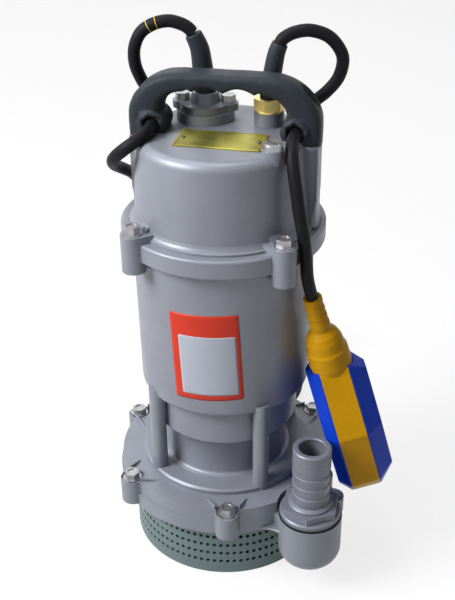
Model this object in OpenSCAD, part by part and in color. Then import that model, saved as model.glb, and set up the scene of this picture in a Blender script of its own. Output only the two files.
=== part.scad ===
// Submersible sump pump with a float switch: a cast aluminium motor housing on a scroll
// casing and a perforated strainer, with a carrying handle and two rubber cables.
// Millimetres, +Z up. The origin is on the shaft axis at the underside of the base plate,
// and -Y is the side of the label. The discharge stands at the front right.

/* [Strainer] */
// Outer radius of the perforated strainer
strainer_r = 73.4; // [68:0.2:76]
// Height of the strainer above the floor
strainer_h = 48; // [44:1:60]
// Thickness of the strainer's sheet
strainer_t = 1.2; // [0.8:0.1:2]
// Holes in one row
row_holes = 90; // [60:1:96]
// Number of rows
rows = 5; // [3:1:5]
// Diameter of one hole
hole_d = 3; // [2:0.1:3.4]
// Height of the lowest row
row_z = 11.5; // [8:0.5:12]
// Vertical distance between rows
row_pitch = 8; // [6:0.5:8.4]
// Thickness of the base plate
base_t = 2; // [1.5:0.5:4]

/* [Scroll casing] */
// Outer radius of the casing and of the frame's plate
casing_r = 82.6; // [80:0.2:88]
// Height of the casing's band
casing_h = 14.5; // [13:0.5:20]
// Thickness of the casing's floor
casing_floor = 3.5; // [3:0.5:5]
// How far the scroll bulges past the band
scroll_bulge = 2; // [0.5:0.5:4]
// Radius of the suction eye
eye_r = 22.5; // [20:0.5:26]
// Radius of the impeller
impeller_r = 56; // [50:1:60]
// Number of impeller vanes
vanes = 6; // [4:1:8]

/* [Discharge] */
// X of the discharge axis
outlet_x = 61.7; // [60:0.1:66]
// Y of the discharge axis
outlet_y = -78; // [-84:0.5:-76]
// Outer radius of the socket
socket_r = 23.8; // [22.5:0.1:26]
// Height of the socket's mouth above the strainer
socket_rise = 16; // [15:0.5:20]
// Lowest point of the socket
socket_low = 20; // [14:1:26]
// Rounding of the socket's bottom edge
socket_round = 16; // [10:1:19]
// Radius of the water way in the socket
socket_bore = 17; // [14:0.5:18]
// Outer radius of the hose barb
barb_r = 14.1; // [12:0.1:15]
// Radius of the barb's water way
barb_bore = 9.7; // [7:0.1:10.5]
// Length of the barb above its collar
barb_h = 48; // [40:1:60]

/* [Motor frame] */
// Height of the plate's rim
plate_h = 8.5; // [8:0.5:12]
// Radius of the raised disc on the plate
disc_r = 65.6; // [62:0.2:70]
// Height of the raised disc
disc_h = 4.5; // [2:0.5:6]
// Radius of the neck
neck_r = 42; // [40:0.5:46]
// Radius of the ring above the neck
ring_r = 54.9; // [52:0.1:57]
// Height of the ring's lower edge
ring_z = 112; // [105:1:118]
// Height of the shell's lower edge
shell_z = 145; // [143:1:150]
// Radius of the shell at its lower edge
shell_low_r = 63.4; // [62.5:0.1:66]
// Radius of the shell under the flange
shell_r = 65; // [64:0.1:68]
// Radius of the flange
flange_r = 72.8; // [70:0.2:76]
// Height of the flange's underside
flange_z = 258.4; // [256:0.2:262]
// Height of the flange's top
flange_top = 272.6; // [271:0.2:276]
// Radius of the four columns
column_r = 6; // [4.5:0.1:7]
// Distance of the columns from the axis
column_at = 60.5; // [58:0.5:62]

/* [Top cover] */
// Radius of the cover at its foot
cover_low_r = 63; // [62:0.2:65]
// Radius of the cover at its shoulder
cover_r = 60.1; // [59:0.1:62]
// Height of the cover's flat top
cover_top = 335; // [330:0.5:350]
// Rounding of the shoulder
shoulder_r = 7; // [4:0.5:9]
// Wall of the cover
cover_wall = 4; // [3:0.5:5]
// Turn of the handle and the cover's lugs about the axis
turn = -12; // [-20:1:0]

/* [Lugs and bolts] */
// Bolt circle radius of the casing
casing_bolt_at = 84; // [83:0.5:90]
// Bolt circle radius of the cover
cover_bolt_at = 73.4; // [72:0.2:78]
// Radius of a casing lug
lug_r = 9; // [8:0.5:11]
// Radius of a cover lug
cover_lug_r = 8.5; // [7.5:0.5:10]
// Radius of the bolts' shanks
bolt_r = 3; // [2.5:0.5:3]

/* [Motor] */
// Outer radius of the stator
stator_r = 60; // [58:0.5:60]
// Height of the stator's lower face
stator_z = 168; // [164:1:172]
// Length of the stator
stator_h = 76; // [60:1:78]
// Bore radius of the stator
stator_bore = 33; // [30:0.5:36]
// Number of slots
slots = 24; // [12:6:24]
// Air gap between rotor and stator
air_gap = 0.4; // [0.3:0.1:0.8]
// Radius of the shaft in the lower bearing
shaft_r = 10; // [9:0.5:10]
// Radius of the shaft in the impeller
shaft_end_r = 8; // [7:0.5:8]
// Radius of the shaft in the upper bearing
shaft_top_r = 8.5; // [7:0.5:9]
// Outer radius of the lower bearing
low_bearing_r = 23.5; // [22:0.5:24]
// Width of the lower bearing
low_bearing_w = 14; // [12:1:15]
// Outer radius of the upper bearing
top_bearing_r = 23.5; // [22:0.5:24]
// Width of the upper bearing
top_bearing_w = 14; // [12:1:15]

/* [Handle] */
// Half the length over the handle's feet
handle_l = 65; // [63:0.5:68]
// Depth of the handle
handle_w = 22; // [18:1:26]
// Height of the grip's top
handle_top = 376.5; // [374:0.5:384]
// Width of a leg
leg_w = 19; // [17:1:20]
// Thickness of the grip
grip_t = 12.5; // [11:0.5:15]
// Distance of the cable eyes from the handle's ends
eye_in = 15.7; // [15:0.1:17]
// Radius of the boss round each eye
eye_boss_r = 10; // [8.5:0.5:11]
// Radius of each eye
eye_hole_r = 5.6; // [5:0.1:6.5]

/* [Cables] */
// Diameter of the two cables
cable_d = 8.8; // [7:0.1:8.8]
// Turns in one layer of the coil
coil_turns = 4; // [2:1:5]
// Layers of the coil
coil_layers = 4; // [2:2:4]

/* [Float] */
// Length of the float's body
float_l = 112; // [100:1:124]
// Width of the float's body
float_w = 66; // [56:1:70]
// Width of the yellow band
band_t = 21; // [16:0.5:26]
// Thickness of the outer blue shell
side_t = 13; // [9:0.5:14]
// Thickness of the inner blue shell, on the pump's side
inner_side_t = 9; // [7:0.5:12]

/* [Hidden] */
$fn = 96;

// Clearances
seat_gap = 0.1;   // between pieces of one body that seat in each other
run_gap = 0.05;   // between a ball and its races
rest_gap = 0.3;   // between pieces of two bodies that lie beside each other

// Heights and radii that follow from the driving sizes
casing_top = strainer_h + casing_h;
plate_top = casing_top + plate_h;
disc_top = plate_top + disc_h;
shell_bore = stator_r + seat_gap;
register_r = shell_bore + 1.5;
register_z = 255;
low_bearing_z = shell_z - 18.5;
bracket_z = register_z + 0.5;
bracket_t = 6;
top_bearing_z = bracket_z + 7;
shaft_low = strainer_h - 5;
impeller_z = casing_top - 1.2;
cover_inner_r = cover_r - cover_wall;
lug_angles = [-150, -90, -30, 30, 90, 150];
cover_angles = [45 + turn, 135 + turn, 225 + turn, 315 + turn];
column_angles = [-65, -148, 115, 32];
outlet_at = norm([outlet_x, outlet_y]);
outlet_angle = atan2(outlet_y, outlet_x);
casting = [0.66, 0.67, 0.69];
steel = [0.78, 0.79, 0.8];
dark = [0.16, 0.17, 0.19];
blue = [0.07, 0.27, 0.82];
yellow = [0.93, 0.69, 0.06];

// A tube or a disc about the axis
module ring(outer, inner, z0, z1) {
    translate([0, 0, z0])
        difference() {
            cylinder(r = outer, h = z1 - z0);
            if (inner > 0) translate([0, 0, -1]) cylinder(r = inner, h = z1 - z0 + 2);
        }
}

// The outline of a lug at distance d from the axis, which widens towards the casting
module lug_outline(d, r, spread) {
    translate([d, 0]) circle(r = r, $fn = 48);
    polygon([[d - 3.2 * r, -spread], [d, -r], [d, r], [d - 3.2 * r, spread]]);
}

// A hexagon-headed flange bolt with its head's seat at z = 0
module flange_bolt(length) {
    cylinder(r = 2.3 * bolt_r, h = 1.4, $fn = 32);
    difference() {
        cylinder(r = 5.7, h = 6.2, $fn = 6);
        translate([0, 0, 5.4]) cylinder(r = 3.6, h = 2, $fn = 24);
    }
    translate([0, 0, -length]) cylinder(r = bolt_r, h = length, $fn = 32);
}

// A slotted pan-head screw with its head's seat at z = 0
module pan_screw(r, length) {
    difference() {
        union() {
            cylinder(r = 2 * r, h = 0.9 * r, $fn = 32);
            cylinder(r1 = 2 * r, r2 = 1.6 * r, h = 1.3 * r, $fn = 32);
        }
        translate([-3 * r, -0.2 * r, 0.7 * r]) cube([6 * r, 0.4 * r, r]);
    }
    translate([0, 0, -length]) cylinder(r = r, h = length, $fn = 24);
}

module at_angles(angles, d) {
    for (a = angles) rotate(a) translate([d, 0, 0]) children();
}

// The local frame of the handle, turned with the cover's lugs
handle_shift = 2.2;
module handle_frame() {
    rotate(turn) translate([handle_shift, 0, 0]) children();
}

// ---------------------------------------------------------------- strainer
stud_angles = [90, 210, 330];
stud_at = strainer_r - 9;

module base_plate() {
    color([0.45, 0.52, 0.51])
    difference() {
        union() {
            cylinder(r = strainer_r - strainer_t - seat_gap, h = base_t);
            ring(strainer_r - strainer_t - seat_gap, strainer_r - strainer_t - 2, 0, base_t + 5);
            for (r = [26, 46]) translate([0, 0, base_t]) rotate_extrude() translate([r, 0])
                circle(r = 1.2, $fn = 24);
        }
        at_angles(stud_angles, stud_at) translate([0, 0, -1]) cylinder(r = 2.6, h = base_t + 2, $fn = 24);
    }
}

module strainer() {
    facet = 360 / row_holes;
    flat_r = strainer_r * cos(facet / 2);
    color([0.47, 0.55, 0.54])
    difference() {
        linear_extrude(strainer_h)
            difference() {
                polygon([for (i = [0 : row_holes - 1]) strainer_r * [cos(i * facet), sin(i * facet)]]);
                polygon([for (i = [0 : row_holes - 1])
                    (strainer_r - strainer_t) * [cos(i * facet), sin(i * facet)]]);
            }
        for (i = [0 : row_holes - 1], j = [0 : rows - 1])
            rotate((i + 0.5) * facet) translate([flat_r - strainer_t - 2, 0, row_z + j * row_pitch])
                rotate([0, 90, 0]) cylinder(d = hole_d, h = strainer_t + 4, $fn = 14);
    }
}

module strainer_screws() {
    color(steel)
    at_angles(stud_angles, stud_at) {
        translate([0, 0, base_t]) cylinder(r = 4.6, h = 2.5, $fn = 6);
        translate([0, 0, 0.4]) cylinder(r = 2.5, h = strainer_h - 0.4, $fn = 24);
        translate([0, 0, strainer_h - 6]) cylinder(r = 4.6, h = 6, $fn = 6);
    }
}

// ---------------------------------------------------------------- scroll casing
scroll_low = strainer_h + casing_floor;
socket_top = strainer_h + socket_rise;
duct_w = 19;

// The scroll's outline: a spiral that grows from the casing's radius and fades again
module scroll_outline() {
    polygon([for (a = [0 : 4 : 356])
        let (near = max(0, cos(a - 195)))
        (casing_r - 3 + (3 + scroll_bulge) * pow(near, 0.7)) * [cos(a), sin(a)]]);
}

// The water way round the impeller, which widens towards the discharge
module volute_way() {
    polygon([for (i = [0 : 60])
        let (a = outlet_angle + 20 + 5.6 * i, r = impeller_r + 3 + (casing_r - impeller_r - 14) * i / 60)
        r * [cos(a), sin(a)]]);
}

module socket_body() {
    translate([outlet_x, outlet_y, 0])
        rotate_extrude() {
            translate([0, socket_low + socket_round]) square([socket_r,
                socket_top - socket_low - socket_round]);
            translate([0, socket_low]) square([socket_r - socket_round, socket_round]);
            intersection() {
                translate([socket_r - socket_round, socket_low + socket_round]) circle(r = socket_round);
                translate([0, socket_low]) square([socket_r, socket_round]);
            }
        }
}

module pump_casing() {
    color(casting)
    difference() {
        union() {
            ring(casing_r, 0, strainer_h, casing_top);
            translate([0, 0, strainer_h + 0.5]) linear_extrude(casing_h - 3) scroll_outline();
            translate([0, 0, strainer_h + 2.5]) linear_extrude(casing_h - 2.5)
                for (a = lug_angles) rotate(a) lug_outline(casing_bolt_at, lug_r, 17);
            // The collar that centres the strainer
            ring(strainer_r - strainer_t - seat_gap, strainer_r - 5, strainer_h - 3, strainer_h + 1);
            socket_body();
            // The duct from the scroll to the socket, with the ear on its right side
            rotate(outlet_angle) translate([40, -duct_w, strainer_h])
                cube([outlet_at - 40, 2 * duct_w, casing_h - 1.5]);
            translate([0, 0, strainer_h + 2])
                linear_extrude(casing_h - 2) {
                    polygon([[66, -40], [82, -49], [88.5, -60], [outlet_x + 14, outlet_y + 18], [50, -50]]);
                    translate([81, -57]) circle(r = 8, $fn = 48);
                }
        }
        // Room for the strainer's wall
        ring(strainer_r + seat_gap, strainer_r - strainer_t - seat_gap, socket_low - 1, strainer_h);
        translate([0, 0, scroll_low]) linear_extrude(casing_h) volute_way();
        translate([0, 0, strainer_h - 4]) cylinder(r = eye_r, h = 12);
        translate([outlet_x, outlet_y, scroll_low - 10]) cylinder(r = socket_bore, h = 40);
        translate([outlet_x, outlet_y, socket_low + 12]) cylinder(r1 = 8, r2 = socket_bore,
            h = scroll_low - socket_low - 22);
        rotate(outlet_angle) translate([60, -10, scroll_low]) cube([outlet_at - 60, 20,
            casing_h - casing_floor - 3.5]);
        translate([0, 0, casing_top - 2]) ring(casing_r - 4, casing_r - 7, 0, 3);
        at_angles(lug_angles, casing_bolt_at) translate([0, 0, strainer_h - 1])
            cylinder(r = bolt_r + seat_gap, h = 40, $fn = 32);
        at_angles(stud_angles, stud_at) translate([0, 0, strainer_h - 5]) cylinder(r = 5.6, h = 5,
            $fn = 24);
    }
}

barb_collar = 4;
barb_hex = 5.5;
barb_foot = socket_top + 1.4;
barb_z = barb_foot + barb_collar + barb_hex + 2.1;
barb_top = barb_z + barb_h;
barb_land = 16;

module hose_barb() {
    color([0.72, 0.72, 0.74])
    translate([outlet_x, outlet_y, 0])
    difference() {
        union() {
            rotate_extrude()
                polygon(concat(
                    [[barb_bore, socket_top - 16], [socket_bore - 0.4, socket_top - 16],
                        [socket_bore - 0.4, barb_foot],
                     [socket_r - 1, barb_foot], [socket_r - 1, barb_foot + barb_collar - 1],
                     [socket_r - 2, barb_foot + barb_collar], [16.6, barb_foot + barb_collar],
                     [16.6, barb_z - 0.8], [15.8, barb_z], [barb_r - 0.3, barb_z + 1]],
                    [for (i = [0 : 2]) each [
                        [barb_r, barb_z + 8 + 9 * i], [barb_r, barb_z + 9 + 9 * i], [barb_r - 0.7,
                            barb_z + 9.4 + 9 * i]]],
                    [[barb_r - 0.5, barb_top - barb_land - 1], [barb_r, barb_top - barb_land], [barb_r,
                        barb_top - 0.8],
                     [barb_r - 0.8, barb_top], [barb_bore + 0.6, barb_top], [barb_bore, barb_top - 0.6]]));
            translate([0, 0, barb_foot + barb_collar]) rotate(19) cylinder(r = 22.2, h = barb_hex, $fn = 6);
        }
        translate([0, 0, socket_top - 17]) cylinder(r = barb_bore, h = barb_top);
    }
}

module barb_seal() {
    color(dark)
    translate([outlet_x, outlet_y, socket_top])
        difference() {
            cylinder(r = socket_r - 0.3, h = barb_foot - socket_top);
            translate([0, 0, -1]) cylinder(r = socket_bore, h = 5);
        }
}

module casing_seal() {
    color(dark)
    translate([0, 0, casing_top - 0.95]) rotate_extrude() translate([casing_r - 5.5, 0]) circle(r = 0.95,
        $fn = 32);
}

// ---------------------------------------------------------------- motor frame
oil_cover_r = 36;
oil_cover_t = 6;
seal_r = 15;
oil_room_r = 32;
oil_screw_at = oil_cover_r - 5;
oil_screw_angles = [45, 135, 225, 315];
column_foot = plate_top - 1;

module motor_frame() {
    color(casting)
    difference() {
        union() {
            ring(casing_r, 0, casing_top, plate_top);
            rotate_extrude() {
                polygon([[0, plate_top - 1], [disc_r, plate_top - 1], [disc_r, disc_top - 1.5],
                    [disc_r - 1.5, disc_top],
                    [0, disc_top]]);
                // The neck with its fillet
                translate([0, plate_top - 1]) square([neck_r, ring_z + 4 - plate_top]);
                difference() {
                    translate([0, disc_top - 1]) square([neck_r + 8, 9]);
                    translate([neck_r + 8, disc_top + 8]) circle(r = 8);
                }
                // The ring, and the rounded lower edge of the shell
                translate([0, ring_z]) square([ring_r, shell_z - ring_z]);
                translate([0, shell_z - 5]) square([shell_low_r - 5, 6]);
                translate([shell_low_r - 5, shell_z]) circle(r = 5);
                polygon([[0, shell_z], [shell_low_r, shell_z], [shell_r, flange_z], [shell_r,
                    flange_z + 1], [0, flange_z + 1]]);
                // The flange with rounded rims
                translate([0, flange_z]) square([flange_r - 2, flange_top - flange_z]);
                translate([0, flange_z + 2]) square([flange_r, flange_top - flange_z - 4]);
                for (z = [flange_z + 2, flange_top - 2]) translate([flange_r - 2, z]) circle(r = 2,
                    $fn = 48);
            }
            at_angles(column_angles, column_at) translate([0, 0, column_foot])
                cylinder(r = column_r, h = shell_z - column_foot + 2, $fn = 48);
            translate([0, 0, casing_top]) linear_extrude(plate_h)
                for (a = lug_angles) rotate(a) lug_outline(casing_bolt_at, lug_r, 17);
            translate([0, 0, flange_z - 8]) linear_extrude(flange_top - flange_z + 8)
                for (a = cover_angles) rotate(a) translate([cover_bolt_at, 0]) circle(r = cover_lug_r,
                    $fn = 48);
            translate([0, 0, flange_z]) linear_extrude(flange_top - flange_z)
                for (a = cover_angles) rotate(a) lug_outline(cover_bolt_at, cover_lug_r, 15);
        }
        // The motor room and the register of the bracket and the cover
        ring(shell_bore, 0, shell_z + 4, flange_top + 1);
        ring(register_r, 0, register_z, flange_top + 1);
        // The lower bearing's seat, the shaft's way and the oil room
        ring(low_bearing_r + seat_gap, 0, low_bearing_z, shell_z + 5);
        ring(shaft_r + 3, 0, ring_z, low_bearing_z + 1);
        ring(oil_room_r, 0, casing_top, ring_z - 4);
        ring(oil_cover_r + seat_gap, 0, casing_top - 1, casing_top + oil_cover_t);
        ring(shaft_r + 8, 0, ring_z - 5, ring_z + 4);
        at_angles(lug_angles, casing_bolt_at) {
            translate([0, 0, plate_top - 1.5]) cylinder(r = lug_r - 0.6, h = 10, $fn = 48);
            translate([0, -4, plate_top - 1.5]) cube([20, 8, 10]);
            translate([0, 0, casing_top - 1]) cylinder(r = bolt_r + seat_gap, h = 20, $fn = 32);
        }
        at_angles(cover_angles, cover_bolt_at) translate([0, 0, flange_z - 4])
            cylinder(r = bolt_r + seat_gap, h = 40, $fn = 32);
        // The recess for the discharge's collar
        translate([outlet_x, outlet_y, casing_top - 1]) cylinder(r = socket_r + 1, h = plate_h + 2);
        at_angles(oil_screw_angles, oil_screw_at) translate([0, 0, casing_top]) cylinder(r = 2.1, h = 14,
            $fn = 24);
    }
}

module oil_cover() {
    color(casting)
    difference() {
        ring(oil_cover_r, shaft_r - 1, casing_top + 0.4, casing_top + oil_cover_t);
        ring(seal_r + seat_gap, 0, casing_top + 2.4, casing_top + 10);
        at_angles(oil_screw_angles, oil_screw_at) {
            translate([0, 0, casing_top - 1]) cylinder(r = 2.1, h = 14, $fn = 24);
            translate([0, 0, casing_top - 1]) cylinder(r = 4.2, h = 4, $fn = 24);
        }
    }
}

module oil_cover_screws() {
    color(steel)
    at_angles(oil_screw_angles, oil_screw_at) {
        translate([0, 0, casing_top + 1]) cylinder(r = 3.9, h = 2, $fn = 24);
        translate([0, 0, casing_top + 1]) cylinder(r = 2, h = 12, $fn = 24);
    }
}

module seal_seat() {
    color([0.85, 0.85, 0.82])
        ring(seal_r, shaft_r, casing_top + 2.4, casing_top + oil_cover_t + 3);
}

seal_face = casing_top + oil_cover_t + 3.1;
shaft_seal_r = shaft_r - 1;

module seal_head() {
    color(dark) {
        ring(seal_r - 1, shaft_seal_r + 0.05, seal_face, seal_face + 7);
        ring(seal_r - 1, shaft_seal_r + 0.05, ring_z - 12, ring_z - 9);
    }
}

spring_r = 0.8;
spring_coils = 4;
spring_low = seal_face + 7 + spring_r;
spring_high = ring_z - 12 - spring_r;

// The spring's turns as one helical tube
module seal_spring() {
    steps = 14 * spring_coils;
    points = [for (i = [0 : steps])
        let (a = 360 * spring_coils * i / steps)
        [(seal_r - 3) * cos(a), (seal_r - 3) * sin(a), spring_low + (spring_high - spring_low)
            * i / steps]];
    color(steel)
        skin([for (i = [0 : steps]) tube_ring(points[i], way(points, i), [0, 0, 1], spring_r, 6)]);
}

bolt_seat = plate_top - 1.5;

module casing_bolts() {
    color(steel)
        at_angles(lug_angles, casing_bolt_at) translate([0, 0, bolt_seat]) rotate(20)
            flange_bolt(bolt_seat - strainer_h - 2.5);
}

// ---------------------------------------------------------------- rotating pieces
vane_t = 3;
shroud_t = 1.6;
vane_h = casing_h - casing_floor - 2.4 - 2 * shroud_t;

// One backward-curved vane, from the eye to the rim
module vane_outline() {
    steps = 8;
    inner = [for (i = [0 : steps]) let (s = i / steps, r = eye_r - 1 + (impeller_r - eye_r) * s,
        a = -62 * s)
        r * [cos(a), sin(a)]];
    outer = [for (i = [steps : -1 : 0]) let (s = i / steps, r = eye_r - 1 + (impeller_r - eye_r) * s,
        a = -62 * s + vane_t / r * 57.3)
        r * [cos(a), sin(a)]];
    polygon(concat(inner, outer));
}

module impeller() {
    color([0.62, 0.5, 0.32])
    difference() {
        union() {
            ring(impeller_r, 0, impeller_z - shroud_t, impeller_z);
            ring(impeller_r, eye_r - 2.5, impeller_z - 2 * shroud_t - vane_h,
                impeller_z - shroud_t - vane_h);
            ring(eye_r - rest_gap, eye_r - 2.5, strainer_h + 0.5, impeller_z - 1.5 * shroud_t - vane_h);
            translate([0, 0, impeller_z - shroud_t - vane_h - 0.2]) linear_extrude(vane_h + 0.4)
                for (i = [0 : vanes - 1]) rotate(i * 360 / vanes) vane_outline();
            ring(13, 0, strainer_h + 3, impeller_z);
        }
        ring(shaft_end_r + 0.05, 0, strainer_h, casing_top);
        translate([-2, 0, strainer_h]) cube([4, shaft_end_r + 2.5, casing_h]);
    }
}

module impeller_key() {
    color(steel) translate([-1.9, shaft_end_r - 1.8, strainer_h + 4]) cube([3.8, 3.4,
        impeller_z - strainer_h - 5]);
}

module impeller_nut() {
    color(steel)
    difference() {
        union() {
            translate([0, 0, strainer_h - 3.2]) cylinder(r = 9, h = 5, $fn = 6);
            translate([0, 0, strainer_h + 1.8]) cylinder(r = 10.5, h = 1.1);
        }
        ring(5.05, 0, strainer_h - 6, strainer_h + 4);
    }
}

module shaft() {
    color(steel)
    difference() {
        rotate_extrude()
            polygon([[0, shaft_low], [4.4, shaft_low], [5, shaft_low + 0.6], [5, strainer_h + 2.9],
                [shaft_end_r, strainer_h + 2.9],
                [shaft_end_r, impeller_z], [shaft_seal_r, impeller_z], [shaft_seal_r, low_bearing_z],
                [shaft_r, low_bearing_z], [shaft_r, low_bearing_z + low_bearing_w], [shaft_r + 2.5,
                    low_bearing_z + low_bearing_w],
                [shaft_r + 2.5, stator_z - 6], [shaft_r + 4, stator_z - 6], [shaft_r + 4,
                    stator_z + stator_h + 6],
                [shaft_r, stator_z + stator_h + 6], [shaft_r, top_bearing_z], [shaft_top_r, top_bearing_z],
                [shaft_top_r, top_bearing_z + top_bearing_w + 2], [shaft_top_r - 0.8,
                    top_bearing_z + top_bearing_w + 2.8],
                [0, top_bearing_z + top_bearing_w + 2.8]]);
        translate([-2, shaft_end_r - 2, strainer_h + 3.5]) cube([4, 6, impeller_z - strainer_h - 4]);
    }
}

module rotor_core() {
    r = stator_bore - air_gap;
    color([0.5, 0.5, 0.52]) {
        ring(r, shaft_r + 4.02, stator_z, stator_z + stator_h);
        for (z = [stator_z - 6, stator_z + stator_h]) ring(r - 2, shaft_r + 10, z, z + 6);
    }
}

module bearing_race(outer, inner, z, w, track_r, ball_r) {
    difference() {
        ring(outer, inner, z, z + w);
        translate([0, 0, z + w / 2]) rotate_extrude() translate([track_r, 0])
            circle(r = ball_r + run_gap, $fn = 48);
    }
}

module bearing_balls(z, w, track_r, ball_r, count) {
    for (i = [0 : count - 1]) rotate(360 / count * i) translate([track_r, 0, z + w / 2])
        sphere(r = ball_r, $fn = 32);
    ring(track_r + 0.8, track_r - 0.8, z + w / 2 - ball_r * 0.7, z + w / 2 + ball_r * 0.7);
}

low_track = (low_bearing_r + shaft_r) / 2;
low_ball = 4;
top_track = (top_bearing_r + shaft_top_r) / 2;
top_ball = 4.2;
top_gap = 2.1;

module lower_outer_ring() {
    color(steel) bearing_race(low_bearing_r, low_track + 1.9, low_bearing_z, low_bearing_w, low_track,
        low_ball);
}
module lower_inner_ring() {
    color(steel) bearing_race(low_track - 1.9, shaft_r + 0.02, low_bearing_z, low_bearing_w, low_track,
        low_ball);
}
module lower_balls() {
    color(steel) bearing_balls(low_bearing_z, low_bearing_w, low_track, low_ball, 9);
}
module upper_outer_ring() {
    color(steel) bearing_race(top_bearing_r, top_track + top_gap, top_bearing_z, top_bearing_w, top_track,
        top_ball);
}
module upper_inner_ring() {
    color(steel) bearing_race(top_track - top_gap, shaft_top_r + 0.02, top_bearing_z, top_bearing_w,
        top_track, top_ball);
}
module upper_balls() {
    color(steel) bearing_balls(top_bearing_z, top_bearing_w, top_track, top_ball, 7);
}

// ---------------------------------------------------------------- stator and upper bracket
slot_w = 5;
slot_low = stator_bore + 2;
slot_high = stator_bore + 15;

module stator_core() {
    color([0.4, 0.41, 0.43])
    translate([0, 0, stator_z]) linear_extrude(stator_h)
        difference() {
            circle(r = stator_r);
            circle(r = stator_bore);
            for (i = [0 : slots - 1]) rotate(i * 360 / slots) {
                translate([slot_low, -slot_w / 2]) square([slot_high - slot_low, slot_w]);
                translate([stator_bore - 1, -1.2]) square([4, 2.4]);
            }
        }
}

module windings() {
    color([0.72, 0.38, 0.16]) {
        translate([0, 0, stator_z - 5]) linear_extrude(stator_h + 10)
            for (i = [0 : slots - 1]) rotate(i * 360 / slots)
                translate([slot_low + 0.3, 0.3 - slot_w / 2]) square([slot_high - slot_low - 0.6,
                    slot_w - 0.6]);
        for (z = [stator_z - 12.5, stator_z + stator_h + 0.5])
            rotate_extrude() {
                translate([slot_low + 1, z]) square([slot_high - slot_low + 4, 9]);
            }
    }
}

bracket_screw_angles = [45, 135, 225, 315];
bracket_screw_at = shell_bore - 6;
hub_r = top_bearing_r + 3.5;

module upper_bracket() {
    color(casting)
    difference() {
        union() {
            ring(register_r - seat_gap, 0, bracket_z, bracket_z + bracket_t);
            ring(hub_r, 0, bracket_z, top_bearing_z + top_bearing_w + 1);
            at_angles(bracket_screw_angles, bracket_screw_at) translate([0, 0, bracket_z])
                cylinder(r = 5, h = bracket_t + 1, $fn = 32);
        }
        ring(top_bearing_r + seat_gap, 0, top_bearing_z, top_bearing_z + 40);
        ring(top_track - 1, 0, bracket_z - 1, top_bearing_z + 2);
        for (a = [0, 90, 180, 270]) rotate(a + 22) translate([hub_r + 14, 0, bracket_z - 1])
            cylinder(r = 6, h = bracket_t + 4, $fn = 32);
        at_angles(bracket_screw_angles, bracket_screw_at) translate([0, 0, bracket_z - 1])
            cylinder(r = 2.6, h = 20, $fn = 24);
    }
}

module bracket_screws() {
    color(steel)
        at_angles(bracket_screw_angles, bracket_screw_at) translate([0, 0, bracket_z + bracket_t + 1])
            pan_screw(2.5, bracket_t + 1);
}

module preload_washer() {
    color(steel) ring(top_bearing_r - 0.3, top_track + top_gap, top_bearing_z + top_bearing_w,
        top_bearing_z + top_bearing_w + 0.8);
}

inside_z = bracket_z + bracket_t;
capacitor_r = 13;
capacitor_h = 52;
clamp_t = 1.2;
clamp_h = 12;
capacitor_at = [0, hub_r + capacitor_r + clamp_t + 0.2];

module capacitor() {
    color([0.75, 0.75, 0.72])
    translate([capacitor_at[0], capacitor_at[1], inside_z]) {
        cylinder(r = capacitor_r, h = capacitor_h);
        for (x = [-4, 4]) translate([x - 0.4, -3, capacitor_h]) cube([0.8, 6, 8]);
    }
}

module capacitor_clamp() {
    color(steel)
    difference() {
        union() {
            translate([capacitor_at[0], capacitor_at[1], inside_z]) ring(capacitor_r + clamp_t,
                capacitor_r + seat_gap, 0, clamp_h);
            translate([capacitor_at[0] + capacitor_r, capacitor_at[1] - clamp_h / 2, inside_z]) cube([12, clamp_h, clamp_t]);
        }
        translate([capacitor_at[0], capacitor_at[1], inside_z - 1]) cylinder(r = capacitor_r + seat_gap,
            h = 5);
        translate([capacitor_at[0] + capacitor_r + 7, capacitor_at[1], inside_z - 1]) cylinder(r = 2,
            h = 4, $fn = 24);
    }
}

module thermal_cutout() {
    color([0.2, 0.2, 0.22])
    translate([-6, -46, inside_z]) {
        cube([14, 9, 22]);
        for (x = [2, 11]) translate([x, 3.5, 22]) cube([1, 2, 6]);
    }
}

module terminal_block() {
    color([0.85, 0.84, 0.78])
    translate([-50, -15, inside_z])
        difference() {
            cube([14, 30, 18]);
            for (y = [5, 15, 25]) {
                translate([7, y, 9]) cylinder(r = 2.6, h = 12, $fn = 24);
                translate([-1, y - 2, 4]) cube([16, 4, 4]);
            }
        }
}

// ---------------------------------------------------------------- top cover
cover_roof = 5;
lug_top = flange_top + 5.4;
pad_in = 50;
foot_z = cover_top - 3;
power_at = [-11.5, 29];
power_boss_r = 20.4;
power_boss_top = cover_top + 7;
power_bolt_at = 16.5;
power_head_r = 5.2;
power_bore = 12;
float_at = [32.5, 14];
float_boss_r = 10.5;
float_boss_top = cover_top + 9.8;
vent_at = [32.5, -42];
vent_boss_r = 7.4;
vent_top = cover_top + 3.6;

module cover_solid(grow) {
    r = cover_r + grow;
    top = cover_top + grow;
    rotate_extrude() {
        polygon([[0, flange_top], [cover_low_r + grow, flange_top], [r, top - shoulder_r], [0,
            top - shoulder_r]]);
        square([r - shoulder_r, top]);
        translate([r - shoulder_r, top - shoulder_r]) circle(r = shoulder_r);
    }
}

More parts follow.
